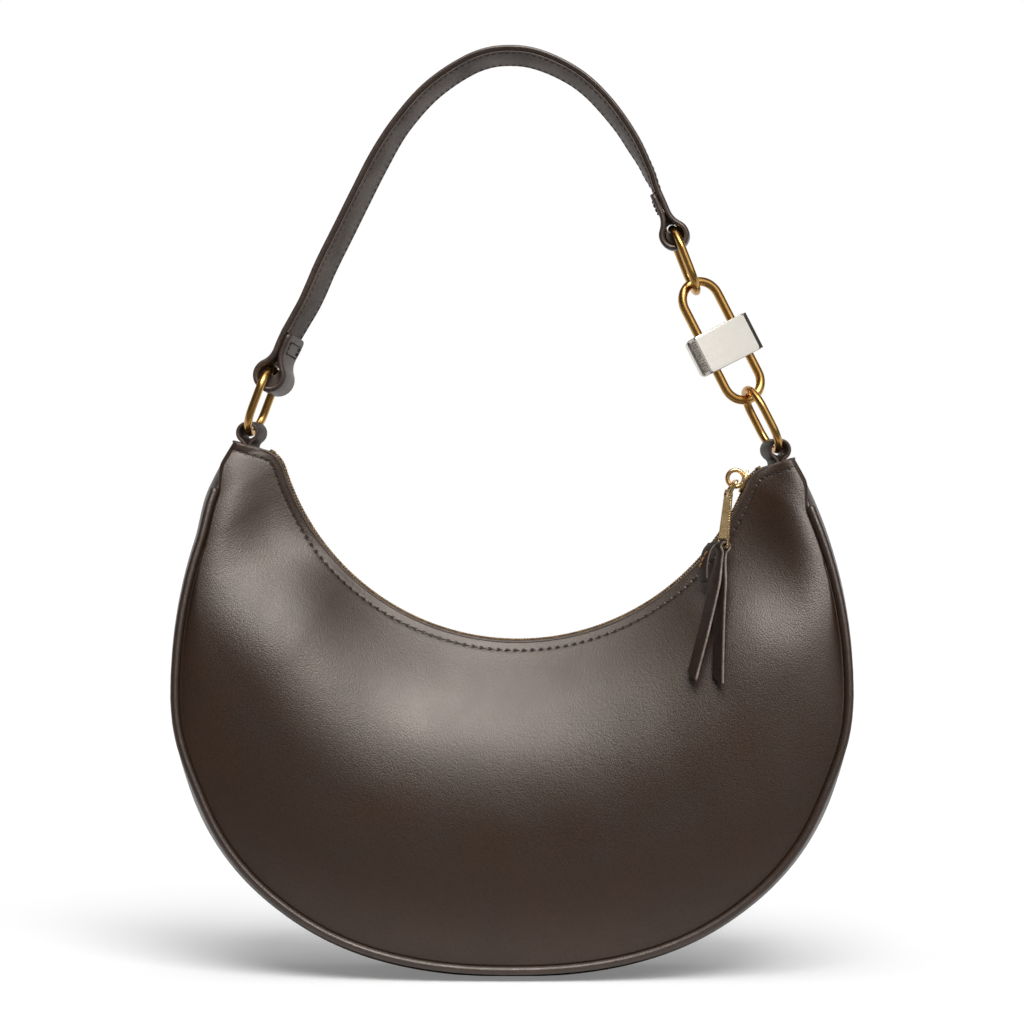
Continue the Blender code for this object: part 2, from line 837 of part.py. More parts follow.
def build_tassel(axis):
    leather = material("tassel_leather", BROWN, 0.45, 0.0)
    thread = material("tassel_thread", THREAD_TAN, 0.7, 0.0)
    turned = math.cos(PULL_YAW)
    hole = math.hypot(PULL_THICKNESS / turned, SLOT_RIM) / 2 + GAP / turned
    fold = fold_path(hole, TASSEL_THICKNESS, TASSEL_FILLET, 0.0, 0.0)
    neck = fold[0].y
    leg = -fold[0].x
    tail = []
    for i in range(1, TASSEL_POINTS + 1):
        share = i / TASSEL_POINTS
        spread = TASSEL_SPREAD * share**TASSEL_SPREAD_POWER_SHARE
        tail.append(Vector((leg + spread, lerp(neck, TASSEL_LENGTH, share))))
    left = [Vector((-p.x, p.y)) for p in reversed(tail)]
    local = left + fold + tail
    down = -leaning(TASSEL_LEAN_DEG)
    u_axis = right_of(down)
    path = placed(local[::-1], RIM_CENTRE, u_axis, down)
    drops = [p.y for p in local[::-1]]
    neck_half = TASSEL_NECK / 2 * turned
    full_half = TASSEL_WIDTH / 2 * turned
    shift = Vector((-math.tan(PULL_YAW), 0))
    ribbon_part(
        "tassel_strip",
        path,
        leather,
        axis,
        depth=(0.0, TASSEL_THICKNESS),
        half_width=[lerp(neck_half, full_half, smooth((d - neck) / TASSEL_FLARE)) for d in drops],
        middle_y=[PULL_MIDDLE_Y - TASSEL_FORWARD * max(d, 0.0) / TASSEL_LENGTH for d in drops],
        shift=shift,
    )
    reach = leg + GAP + THREAD_RADIUS
    side = neck_half + THREAD_SLACK + 2 * THREAD_RADIUS
    level = RIM_CENTRE + down * TASSEL_THREAD_DROP
    middle = PULL_MIDDLE_Y - TASSEL_FORWARD * TASSEL_THREAD_DROP / TASSEL_LENGTH
    loop = rounded_loop(-reach, reach, -side, side, 2 * THREAD_RADIUS)
    places = [in_space(level + u_axis * a + shift * b, middle + b) for a, b in loop]
    wire_part("tassel_stitches", places, THREAD_RADIUS, thread, axis, True, THREAD_SIDES)


# The chain, worked out upwards from the right tab


def horn_top(side, inset):
    """The middle of a tab's hole, above the horn that carries it and inwards of its corner."""
    height = HORN_HEIGHTS[0] if side < 0 else HORN_HEIGHTS[1]
    corner = power_curve(UPPER_REACH, UPPER_POWER_SHARE, horn_angle(height))[0]
    return Vector((side * (corner - inset), height + TAB_RISE))


LEFT_TAB = horn_top(-1, LEFT_TAB_INSET)
RIGHT_TAB = horn_top(1, RIGHT_TAB_INSET)
LEFT_UP = leaning(LEFT_RING_LEAN_DEG)
LOWER_UP = leaning(LOWER_RING_LEAN_DEG)
UPPER_UP = leaning(UPPER_RING_LEAN_DEG)
LINK_UP = leaning(LINK_LEAN_DEG)
CROSSING = LINK_WIRE_RADIUS + RING_WIRE_RADIUS + GAP
RING_REACH = RING_STRAIGHT + RING_RADIUS
LEFT_PIVOT = LEFT_TAB + LEFT_UP * (RING_SEAT + RING_RADIUS)
STRAP_PIVOT = LEFT_PIVOT + LEFT_UP * RING_STRAIGHT
RIGHT_PIVOT = RIGHT_TAB + LOWER_UP * (RING_SEAT + RING_RADIUS)
LINK_BOTTOM = RIGHT_PIVOT + LOWER_UP * RING_REACH - LINK_UP * CROSSING
LINK_TOP = LINK_BOTTOM + LINK_UP * (LINK_STRAIGHT + 2 * LINK_RADIUS)
UPPER_LOW = LINK_TOP - LINK_UP * CROSSING + UPPER_UP * RING_RADIUS
UPPER_PIVOT = UPPER_LOW + UPPER_UP * RING_STRAIGHT


def pill(radius, straight):
    """An oval loop, its lower arc centred on the origin."""
    points = []
    for i in range(ARC_STEPS + 1):
        angle = math.pi + math.pi * i / ARC_STEPS
        points.append((radius * math.cos(angle), radius * math.sin(angle)))
    for i in range(ARC_STEPS + 1):
        angle = math.pi * i / ARC_STEPS
        points.append((radius * math.cos(angle), straight + radius * math.sin(angle)))
    return points


def ring_part(name, low, up, inward, turn_deg, look, axis):
    """An oval ring that stands on its lower arc's centre, its back turned inward a little."""
    turn = math.radians(turn_deg)
    across = in_space(inward) * math.sin(turn) + Vector((0, math.cos(turn), 0))
    rise = in_space(up)
    base = in_space(low)
    places = [base + across * a + rise * b for a, b in pill(RING_RADIUS, RING_STRAIGHT)]
    wire_part(name, places, RING_WIRE_RADIUS, look, axis, closed=True)


def link_sideways():
    """Across the link, which is turned a little about its own length."""
    yaw = math.radians(LINK_YAW_DEG)
    return in_space(right_of(LINK_UP)) * math.cos(yaw) + Vector((0, math.sin(yaw), 0))


def build_chain(axes):
    brass = material("chain_brass", BRASS, 0.35, 1.0)
    turn = RING_TURN_DEG
    ring_part(
        "left_ring", LEFT_PIVOT, LEFT_UP, right_of(LEFT_UP), turn, brass, axes["handle_swing"]
    )
    ring_part(
        "lower_ring", RIGHT_PIVOT, LOWER_UP, left_of(LOWER_UP), turn, brass, axes["lower_ring_turn"]
    )
    ring_part(
        "upper_ring",
        UPPER_LOW,
        UPPER_UP,
        left_of(UPPER_UP),
        UPPER_RING_TURN_DEG,
        brass,
        axes["upper_ring_turn"],
    )
    low = in_space(LINK_BOTTOM + LINK_UP * LINK_RADIUS)
    sideways = link_sideways()
    loop = pill(LINK_RADIUS, LINK_STRAIGHT)
    places = [low + sideways * a + in_space(LINK_UP) * b for a, b in loop]
    wire_part("chain_link", places, LINK_WIRE_RADIUS, brass, axes["link_rock"], closed=True)


def build_lock(axis):
    plate_metal = material("lock_plate_metal", CHAMPAGNE, 0.12, 1.0)
    body_metal = material("lock_body_metal", CHAMPAGNE, 0.3, 1.0)
    across = link_sideways()
    along = in_space(LINK_UP)
    back = along.cross(across)
    centre = in_space((LINK_BOTTOM + LINK_TOP) / 2)

    def lock_frame(sideways, depth):
        return frame_matrix(centre + across * sideways + back * depth, across, back, along)

    body_depth = LOCK_FRONT_DEPTH + LOCK_BACK_DEPTH
    body_size = (LOCK_WIDTH, body_depth, LOCK_LENGTH)
    body = box("lock_body", body_size, lock_frame(0, (LOCK_BACK_DEPTH - LOCK_FRONT_DEPTH) / 2))
    rounded(body, LOCK_BEVEL)
    for side in (-1, 1):
        place = lock_frame(side * LINK_RADIUS, 0)
        bore = rod("lock_bore", LINK_WIRE_RADIUS + GAP, LOCK_LENGTH + OVERRUN, place)
        combine(body, bore, "DIFFERENCE")
    link_part(body, body_metal, axis)
    plates = (
        ("front", -(LOCK_FRONT_DEPTH + GAP + LOCK_FRONT_PLATE / 2), LOCK_FRONT_PLATE),
        ("back", LOCK_BACK_DEPTH + GAP + LOCK_BACK_PLATE / 2, LOCK_BACK_PLATE),
    )
    for name, depth, thickness in plates:
        size = (LOCK_PLATE_WIDTH, thickness, LOCK_LENGTH)
        plate = box("lock_" + name + "_plate", size, lock_frame(0, depth))
        rounded(plate, thickness * PLATE_EDGE_SHARE)
        link_part(plate, plate_metal, axis)


def build_tabs():
    leather = material("tab_leather", DARK_BROWN, 0.45, 0.0)
    turn = math.tan(math.radians(RING_TURN_DEG))
    path = fold_path(TAB_HOLE_RADIUS, TAB_THICKNESS, TAB_FILLET, TAB_STEM, TAB_STEM)
    down = Vector((0, -1))
    for name, centre, side in (("left_tab", LEFT_TAB, 1), ("right_tab", RIGHT_TAB, -1)):
        ribbon_part(
            name,
            placed(path[::-1], centre, right_of(down), down),
            leather,
            depth=(0.0, TAB_THICKNESS),
            half_width=TAB_WIDTH / 2,
            shift=Vector((side * turn, 0)),
            trim=TAB_TRIM,
        )


# The strap: two folded ends and the arch between them

LEFT_LEG_UP = leaning(LEFT_LEG_LEAN_DEG)
RIGHT_LEG_UP = leaning(RIGHT_LEG_LEAN_DEG)
LEFT_FOLD = STRAP_PIVOT + LEFT_UP * STRAP_SEAT
RIGHT_FOLD = UPPER_PIVOT + UPPER_UP * STRAP_SEAT
STRAP_TOTAL = STRAP_THICKNESS + GAP + STRAP_LINING


def arch_middle():
    """The middle of the strap's thickness, from the left leg over the top to the right leg."""
    chord = RIGHT_FOLD - LEFT_FOLD
    rise = left_of(chord.normalized()) * STRAP_RISE
    sideways = STRAP_THICKNESS + GAP / 2 - STRAP_TOTAL / 2
    left = LEFT_FOLD - right_of(LEFT_LEG_UP) * sideways
    right = RIGHT_FOLD - left_of(RIGHT_LEG_UP) * sideways
    route = [left + LEFT_LEG_UP * STRAP_TAIL / 2, left + LEFT_LEG_UP * STRAP_LEG]
    route += [LEFT_FOLD + chord * along + rise * up for along, up in ARCH_SHARES]
    route += [right + RIGHT_LEG_UP * STRAP_LEG, right + RIGHT_LEG_UP * STRAP_TAIL / 2]
    return resampled(spline(route, ARC_STEPS), ARCH_POINTS)


def strap_turn(share):
    for (low, before), (high, after) in zip(STRAP_TURN_DEG, STRAP_TURN_DEG[1:]):
        if share <= high:
            return math.radians(lerp(before, after, smooth((share - low) / (high - low))))
    return math.radians(STRAP_TURN_DEG[-1][1])


def build_strap(axis):
    leather = material("strap_leather", BROWN, 0.42, 0.0)
    inner = material("strap_lining_leather", BROWN, 0.5, 0.0)
    thread = material("strap_thread", THREAD_BROWN, 0.7, 0.0)
    middle = arch_middle()
    normals = [right_of(t) for t in tangents(middle)]
    outer = [p - n * STRAP_TOTAL / 2 for p, n in zip(middle, normals)]
    last = ARCH_POINTS - 1
    turns = [math.tan(strap_turn(i / last)) for i in range(ARCH_POINTS)]
    shifts = [n * t for n, t in zip(normals, turns)]
    fold = fold_path(STRAP_HOLE_RADIUS, STRAP_THICKNESS, STRAP_FILLET, STRAP_TAIL, STRAP_TAIL)
    left = placed(fold[::-1], LEFT_FOLD, right_of(LEFT_LEG_UP), LEFT_LEG_UP)[:-1]
    right = placed(fold, RIGHT_FOLD, left_of(RIGHT_LEG_UP), RIGHT_LEG_UP)[1:]
    path = left + outer + right
    ribbon_part(
        "strap_outer",
        path,
        leather,
        axis,
        depth=(0.0, STRAP_THICKNESS),
        half_width=STRAP_WIDTH / 2,
        shift=[shifts[0]] * len(left) + shifts + [shifts[-1]] * len(right),
        trim=STRAP_TRIM,
    )
    ribbon_part(
        "strap_lining",
        outer[1:-1],
        inner,
        axis,
        depth=(STRAP_THICKNESS + GAP, STRAP_TOTAL),
        half_width=STRAP_LINING_WIDTH / 2,
        shift=shifts[1:-1],
    )
    face = STRAP_THICKNESS + GAP / 2 + GAP + THREAD_RADIUS
    ends = (
        ("strap_left_tack", LEFT_FOLD, right_of(LEFT_LEG_UP), LEFT_LEG_UP, shifts[0]),
        ("strap_right_tack", RIGHT_FOLD, left_of(RIGHT_LEG_UP), RIGHT_LEG_UP, shifts[-1]),
    )
    for name, origin, inward, up, shift in ends:
        low = TACK_PLACE
        loop = rounded_loop(
            -TACK_WIDTH / 2, TACK_WIDTH / 2, low, low + TACK_LENGTH, 2 * THREAD_RADIUS
        )
        places = [in_space(origin + inward * face + up * b + shift * a, a) for a, b in loop]
        wire_part(name, places, THREAD_RADIUS, thread, axis, True, THREAD_SIDES)


def build_all():
    build_body()
    build_zip()
    build_tabs()
    axes = {"handle_swing": axis_at("handle_swing_axis", in_space(LEFT_PIVOT))}
    chain = (
        ("strap_rock", "handle_swing", STRAP_PIVOT),
        ("upper_ring_turn", "strap_rock", UPPER_PIVOT),
        ("link_rock", "upper_ring_turn", LINK_TOP),
        ("lower_ring_turn", "link_rock", LINK_BOTTOM),
        ("lock_slide", "link_rock", (LINK_BOTTOM + LINK_TOP) / 2),
        ("zip_travel", None, MOUTH_CENTRE),
        ("bail_turn", "zip_travel", EYE_CENTRE),
        ("pull_hang", "bail_turn", BAR_CENTRE),
        ("tassel_swing", "pull_hang", RIM_CENTRE),
    )
    for name, parent, place in chain:
        axes[name] = axis_at(name + "_axis", in_space(place), axes.get(parent))
    build_chain(axes)
    build_lock(axes["lock_slide"])
    build_strap(axes["strap_rock"])
    build_slider(axes["zip_travel"])
    build_pull(axes["bail_turn"], axes["pull_hang"])
    build_tassel(axes["tassel_swing"])


build_all()
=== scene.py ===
import math

import bmesh
import bpy
import numpy as np
from mathutils import Matrix, Vector, noise


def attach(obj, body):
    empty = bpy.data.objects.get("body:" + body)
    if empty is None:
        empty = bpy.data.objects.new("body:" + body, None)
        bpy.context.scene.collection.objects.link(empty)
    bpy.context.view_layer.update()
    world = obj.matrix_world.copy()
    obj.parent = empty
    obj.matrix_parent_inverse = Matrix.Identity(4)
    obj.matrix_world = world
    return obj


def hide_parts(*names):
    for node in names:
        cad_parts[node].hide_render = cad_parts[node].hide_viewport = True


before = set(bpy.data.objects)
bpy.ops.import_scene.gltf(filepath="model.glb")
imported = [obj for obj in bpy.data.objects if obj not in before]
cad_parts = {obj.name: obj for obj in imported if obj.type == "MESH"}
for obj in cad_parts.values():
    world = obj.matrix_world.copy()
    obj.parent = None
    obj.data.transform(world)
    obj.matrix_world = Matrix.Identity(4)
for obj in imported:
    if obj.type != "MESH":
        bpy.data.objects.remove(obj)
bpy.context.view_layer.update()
print("frame loaded:", len(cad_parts), "CAD nodes")


# small helpers for numbers and lines

def mix(a, b, share):
    return a + (b - a) * share


def ease(share):
    share = np.clip(share, 0.0, 1.0)
    return share * share * (3 - 2 * share)


def unit(v):
    v = np.asarray(v, float)
    return v / np.maximum(np.linalg.norm(v, axis=-1, keepdims=True), 1e-12)


def lean(degrees):  # a direction in the bag's plane, leaning to the left from upright
    a = math.radians(degrees)
    return np.array([-math.sin(a), math.cos(a)])


def rightOf(d):
    return np.stack([d[..., 1], -d[..., 0]], -1)


def leftOf(d):
    return -rightOf(d)


def inSpace(p, y=0.0):  # a point of the bag's plane, set at depth y
    p = np.asarray(p, float)
    y = np.broadcast_to(y, p.shape[:-1])
    return np.stack([p[..., 0], y, p[..., 1]], -1)


class Route:  # a line that can be read at any length along it

    def __init__(self, points):
        self.points = np.array(points, float)
        steps = np.linalg.norm(np.diff(self.points, axis=0), axis=1)
        self.along = np.concatenate([[0], np.cumsum(steps)])
        self.length = self.along[-1]

    def at(self, s):
        s = np.clip(s, 0, self.length)
        axes = range(self.points.shape[1])
        return np.stack([np.interp(s, self.along, self.points[:, k]) for k in axes], -1)

    def heading(self, s, reach=0.0008):
        s = np.asarray(s, float)
        return unit(self.at(s + reach) - self.at(s - reach))

    def evenly(self, count):
        return self.at(np.linspace(0, self.length, count))

    def nearest(self, spots):  # distance to the line, and the length along it there
        a, b = self.points[:-1], self.points[1:]
        d = b - a
        size = np.maximum((d * d).sum(1), 1e-18)
        best = np.full(len(spots), 1e9)
        where = np.zeros(len(spots))
        for i in range(len(a)):
            t = np.clip(((spots - a[i]) @ d[i]) / size[i], 0, 1)
            away = np.linalg.norm(spots - (a[i] + t[:, None] * d[i]), axis=1)
            closer = away < best
            best[closer] = away[closer]
            where[closer] = self.along[i] + t[closer] * math.sqrt(size[i])
        return best, where


def smoothCurve(points, steps):  # passes all points but the first and last
    made = []
    for a, b, c, d in zip(points, points[1:], points[2:], points[3:]):
        for k in range(steps):
            t = k / steps
            made.append(0.5 * (2 * b + (c - a) * t + (2 * a - 5 * b + 4 * c - d) * t * t
                               + (3 * b - a - 3 * c + d) * t**3))
    made.append(points[-2])
    return np.array(made)


# small helpers for meshes

def makePiece(name, verts, faces, look, body, node=None, sharp=None, uv=None, turn=True):
    mesh = bpy.data.meshes.new(name)
    mesh.from_pydata([tuple(map(float, v)) for v in verts], [], faces)
    mesh.shade_smooth()
    if sharp:
        mesh.set_sharp_from_angle(angle=math.radians(sharp))
    if uv is not None:
        layer = mesh.uv_layers.new(name="seam")
        index = np.zeros(len(mesh.loops), np.int32)
        mesh.loops.foreach_get("vertex_index", index)
        layer.data.foreach_set("uv", np.asarray(uv, np.float32)[index].ravel())
    made = bpy.data.objects.new(name, mesh)
    bpy.context.scene.collection.objects.link(made)
    mesh.materials.append(look)
    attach(made, body)
    if turn:
        turnOutwards(mesh)
    if node:
        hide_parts(node)
    return made


def turnOutwards(mesh):
    shape = bmesh.new()
    shape.from_mesh(mesh)
    bmesh.ops.recalc_face_normals(shape, faces=shape.faces)
    shape.to_mesh(mesh)
    shape.free()


def gridFaces(rows, cols, start=0, closeRows=False, closeCols=False):
    faces = []
    for i in range(rows if closeRows else rows - 1):
        for j in range(cols if closeCols else cols - 1):
            i2, j2 = (i + 1) % rows, (j + 1) % cols
            faces.append((start + i * cols + j, start + i * cols + j2, start + i2 * cols + j2,
                          start + i2 * cols + j))
    return faces


def ringFaces(rows, cols, closed, start=0):  # a swept section, with its two ends closed
    faces = gridFaces(rows, cols, start, closed, True)
    if not closed:
        faces.append(tuple(start + j for j in range(cols))[::-1])
        faces.append(tuple(start + (rows - 1) * cols + j for j in range(cols)))
    return faces


def gridNormals(grid):
    return unit(np.cross(np.gradient(grid, axis=0), np.gradient(grid, axis=1)))


def shell(grid, inward, wall, rim=4):  # a sheet with thickness and rounded rims; also its inside
    rows, cols = grid.shape[:2]
    inner = grid + inward * wall
    verts = np.concatenate([grid.reshape(-1, 3), inner.reshape(-1, 3)])
    size = rows * cols
    faces = gridFaces(rows, cols)
    faces += [tuple(size + k for k in f[::-1]) for f in faces]
    border = [(0, j) for j in range(cols)] + [(i, cols - 1) for i in range(1, rows)]
    border += [(rows - 1, j) for j in range(cols - 2, -1, -1)] + [(i, 0) for i in range(rows - 2, 0, -1)]
    extra = []
    for i, j in border:
        out = np.zeros(3)
        if i == 0:
            out += unit(grid[0, j] - grid[1, j])
        if i == rows - 1:
            out += unit(grid[-1, j] - grid[-2, j])
        if j == 0:
            out += unit(grid[i, 0] - grid[i, 1])
        if j == cols - 1:
            out += unit(grid[i, -1] - grid[i, -2])
        out = unit(out)
        middle = (grid[i, j] + inner[i, j]) / 2
        half = (grid[i, j] - inner[i, j]) / 2
        for k in range(1, rim):
            a = math.pi * k / rim
            extra.append(middle + half * math.cos(a) + out * math.sin(a) * wall / 2)
    columns = []
    for n, (i, j) in enumerate(border):
        first = i * cols + j
        columns.append([first, *(2 * size + n * (rim - 1) + k for k in range(rim - 1)), first + size])
    for a, b in zip(columns, columns[1:] + columns[:1]):
        faces += [(a[k], b[k], b[k + 1], a[k + 1]) for k in range(rim)]
    return np.concatenate([verts, np.array(extra)]), faces


def frames(points, closed=False):  # directions along and across a line in space, without twist
    points = np.asarray(points, float)
    if closed:
        along = unit(np.roll(points, -1, 0) - np.roll(points, 1, 0))
    else:
        along = unit(np.gradient(points, axis=0))
    start = np.array([0, 1, 0]) if abs(along[0][1]) < 0.8 else np.array([1, 0, 0])
    side = [unit(np.cross(along[0], start))]
    for t in along[1:]:
        side.append(unit(side[-1] - t * (side[-1] @ t)))
    side = np.array(side)
    return along, side, np.cross(along, side)


def tube(points, radius, sides=16, closed=False, roundEnds=False):
    points = np.asarray(points, float)
    radius = np.broadcast_to(radius, len(points)).astype(float)
    if roundEnds:
        ends = []
        for tip, inner, r in ((points[0], points[1], radius[0]), (points[-1], points[-2], radius[-1])):
            spots = [tip + unit(tip - inner) * r * math.sin(math.acos(c)) for c in (0.0, 0.35, 0.7, 0.93)]
            ends.append((spots, [r * 0.05, r * 0.35, r * 0.7, r * 0.93]))
        (head, headRadius), (tail, tailRadius) = ends
        points = np.concatenate([head, points, tail[::-1]])
        radius = np.concatenate([headRadius, radius, tailRadius[::-1]])
    _, side, other = frames(points, closed)
    turn = np.linspace(0, 2 * math.pi, sides, endpoint=False)
    ring = side[:, None] * np.cos(turn)[None, :, None] + other[:, None] * np.sin(turn)[None, :, None]
    verts = points[:, None] + ring * radius[:, None, None]
    return verts.reshape(-1, 3), ringFaces(len(points), sides, closed)


def joined(parts):  # several lists of points and faces as one
    verts, faces, start = [], [], 0
    for v, f in parts:
        verts.append(np.asarray(v, float))
        faces += [tuple(start + k for k in face) for face in f]
        start += len(v)
    return np.concatenate(verts), faces


def roundedLoop(a0, a1, b0, b1, corner, steps=6):
    spots = []
    for k, (a, b) in enumerate(((a1 - corner, b1 - corner), (a0 + corner, b1 - corner),
                                (a0 + corner, b0 + corner), (a1 - corner, b0 + corner))):
        for n in range(steps + 1):
            turn = math.pi / 2 * (k + n / steps)
            spots.append((a + corner * math.cos(turn), b + corner * math.sin(turn)))
    return spots


def roundedSection(low, high, half, corner, steps=3):  # depth from low to high, width from -half to half
    corner = min(corner, (high - low) / 2 * 0.999, half * 0.999)
    return roundedLoop(low, high, -half, half, corner, steps)


def ribbon(path, sections, shift=0.0, middle=0.0):
    # the path is the outer face in the bag's plane; depth goes to its right, width along y
    path = np.asarray(path, float)
    heading = unit(np.gradient(path, axis=0))
    normal = rightOf(heading)
    shift = np.broadcast_to(shift, path.shape)
    middle = np.broadcast_to(middle, len(path))
    verts = []
    for i in range(len(path)):
        section = sections(i) if callable(sections) else sections
        for depth, across in section:
            flat = path[i] + normal[i] * depth + shift[i] * across
            verts.append((flat[0], middle[i] + across, flat[1]))
    cols = len(verts) // len(path)
    return np.array(verts), ringFaces(len(path), cols, False)


def edgeBeads(strip, half, thickness, bead, inset, gap=0.00006, steps=2):
    # the painted edges of a strip: a bead along each of its two sides
    spots = roundedSection(gap, thickness - gap, bead, bead - 0.00002, steps)
    return joined([strip(lambda i: [(d, a + sign * (half[i] - inset)) for d, a in spots])
                   for sign in (-1, 1)])


def stitches(points, normals, pitch, size, radius, lift=0.4, sides=6):
    # short threads that come out of the leather and go back in, along a line
    route = Route(points)
    count = max(int(route.length / pitch), 1)
    step = route.length / count
    parts = []
    for n in range(count):
        s = (n + 0.5) * step
        centre = route.at(s)
        along = route.heading(s, step / 3)
        k = np.interp(s, route.along, np.arange(len(route.points)))
        i = int(min(k, len(normals) - 2))
        up = unit(mix(np.asarray(normals[i]), np.asarray(normals[i + 1]), k - i))
        spots, radii = [], []
        for t in np.linspace(-1, 1, 7):
            rise = radius * (lift + 0.75 * (1 - t**4) - 0.75)
            spots.append(centre + along * (size / 2 * t) + up * rise)
            radii.append(radius * (1 - 0.45 * t**6))
        parts.append(tube(spots, radii, sides))
    return joined(parts)


def emptied(shape, matrix):  # the points and faces of a bmesh, set in place
    shape.verts.index_update()
    verts = np.array([matrix @ v.co for v in shape.verts])
    faces = [tuple(v.index for v in f.verts) for f in shape.faces]
    shape.free()
    return verts, faces


def boxMesh(size, cornerRadius, matrix, segments=2):
    shape = bmesh.new()
    bmesh.ops.create_cube(shape, size=1, matrix=Matrix.Diagonal((*size, 1)))
    if cornerRadius:
        bmesh.ops.bevel(shape, geom=list(shape.edges), offset=cornerRadius, segments=segments,
                        affect="EDGES", profile=0.6)
    return emptied(shape, matrix)


def axesMatrix(place, x, y, z):
    turned = Matrix((Vector(x), Vector(y), Vector(z))).transposed().to_4x4()
    return Matrix.Translation(Vector(place)) @ turned


def planeMatrix(place, across, up):  # for a plate that stands in the bag's plane
    x, y = inSpace(across), inSpace(up)
    return axesMatrix(inSpace(place), x, y, np.cross(x, y))


def plateMesh(loops, thickness, bevel, matrix, resolution=2):
    # a flat plate from closed outlines, the first one its edge and the others its holes
    data = bpy.data.curves.new("plateOutline", "CURVE")
    data.dimensions = "2D"
    data.fill_mode = "BOTH"
    data.extrude = thickness / 2 - bevel
    data.bevel_depth = bevel
    data.bevel_resolution = resolution
    data.offset = -bevel
    for loop in loops:
        line = data.splines.new("POLY")
        line.points.add(len(loop) - 1)
        for slot, (a, b) in zip(line.points, loop):
            slot.co = (a, b, 0, 1)
        line.use_cyclic_u = True
    holder = bpy.data.objects.new("plateOutline", data)
    bpy.context.scene.collection.objects.link(holder)
    bpy.context.view_layer.update()
    mesh = bpy.data.meshes.new_from_object(holder.evaluated_get(bpy.context.evaluated_depsgraph_get()))
    shape = bmesh.new()
    shape.from_mesh(mesh)
    bmesh.ops.remove_doubles(shape, verts=shape.verts, dist=1e-6)
    bmesh.ops.recalc_face_normals(shape, faces=shape.faces)
    bpy.data.objects.remove(holder)
    bpy.data.curves.remove(data)
    bpy.data.meshes.remove(mesh)
    return emptied(shape, matrix)


def arcSpots(centre, radius, start, end, steps=16):
    turn = np.radians(np.linspace(start, end, steps))
    return [(centre[0] + radius * math.cos(t), centre[1] + radius * math.sin(t)) for t in turn]


# node groups that several finishes share

def newGroup(name, inputs, outputs):
    made = bpy.data.node_groups.new(name, "ShaderNodeTree")
    for label, kind, value in inputs:
        socket = made.interface.new_socket(name=label, in_out="INPUT", socket_type="NodeSocket" + kind)
        socket.default_value = value
    for label, kind in outputs:
        made.interface.new_socket(name=label, in_out="OUTPUT", socket_type="NodeSocket" + kind)
    return made, made.nodes.new("NodeGroupInput"), made.nodes.new("NodeGroupOutput")


class Nodes:  # adds and joins nodes in one tree

    def __init__(self, tree):
        self.tree = tree

    def add(self, kind, inputs=None, **settings):
        node = self.tree.nodes.new("ShaderNode" + kind)
        for key, value in settings.items():
            setattr(node, key, value)
        for key, value in (inputs or {}).items():
            self.put(node.inputs[key], value)
        return node

    def put(self, socket, value):
        if isinstance(value, bpy.types.NodeSocket):
            self.tree.links.new(value, socket)
        elif isinstance(value, bpy.types.Node):
            self.tree.links.new(value.outputs[0], socket)
        else:
            socket.default_value = value

    def math(self, operation, a, b=0.5, c=0.5, clamp=False):
        node = self.add("Math", {0: a, 1: b, 2: c}, operation=operation, use_clamp=clamp)
        return node.outputs[0]

    def times(self, a, b):
        return self.math("MULTIPLY", a, b)

    def plus(self, a, b):
        return self.math("ADD", a, b)

    def minus(self, a, b):
        return self.math("SUBTRACT", a, b)

    def range(self, value, low, high, newLow, newHigh):
        node = self.add("MapRange", {"Value": value, "From Min": low, "From Max": high, "To Min": newLow,
                                     "To Max": newHigh})
        return node.outputs[0]

    def blend(self, share, a, b):
        node = self.tree.nodes.new("ShaderNodeMix")
        node.data_type = "RGBA"
        self.put(node.inputs[0], share)
        self.put(node.inputs[6], a)
        self.put(node.inputs[7], b)
        return node.outputs[2]


def makeLeatherGrain():
    group, given, out = newGroup("LeatherGrain", [
        ("Vector", "Vector", (0, 0, 0)), ("Grain Scale", "Float", 1500.0), ("Pebble Depth", "Float", 0.6),
        ("Mottle Scale", "Float", 60.0)],
        [("Height", "Float"), ("Mottle", "Float"), ("Pores", "Float")])
    n = Nodes(group)
    where = given.outputs["Vector"]
    warp = n.add("TexNoise", {"Vector": where, "Scale": 420.0, "Detail": 2.0})
    bent = n.add("VectorMath",
                 {0: where, 1: n.add("VectorMath", {0: warp.outputs["Color"], 1: (0.0008, 0.0008, 0.0008)},
                                     operation="MULTIPLY")}, operation="ADD")
    cells = n.add("TexVoronoi", {"Vector": bent, "Scale": given.outputs["Grain Scale"]}, feature="SMOOTH_F1")
    cells.inputs["Smoothness"].default_value = 0.35
    fine = n.add("TexNoise", {"Vector": where, "Scale": 5200.0, "Detail": 3.0})
    creases = n.add("TexNoise", {"Vector": where, "Scale": 190.0, "Detail": 5.0, "Roughness": 0.62})
    pebble = n.times(n.minus(1.0, cells.outputs["Distance"]), given.outputs["Pebble Depth"])
    height = n.plus(pebble, n.times(fine.outputs["Fac"], 0.30))
    height = n.plus(height, n.times(creases.outputs["Fac"], 0.4))
    mottle = n.add("TexNoise", {"Vector": where, "Scale": given.outputs["Mottle Scale"], "Detail": 4.0,
                                "Roughness": 0.55})
    n.put(out.inputs["Height"], height)
    n.put(out.inputs["Mottle"], n.range(mottle.outputs["Fac"], 0.3, 0.7, 0.0, 1.0))
    n.put(out.inputs["Pores"], n.range(cells.outputs["Distance"], 0.35, 0.75, 0.0, 1.0))
    return group


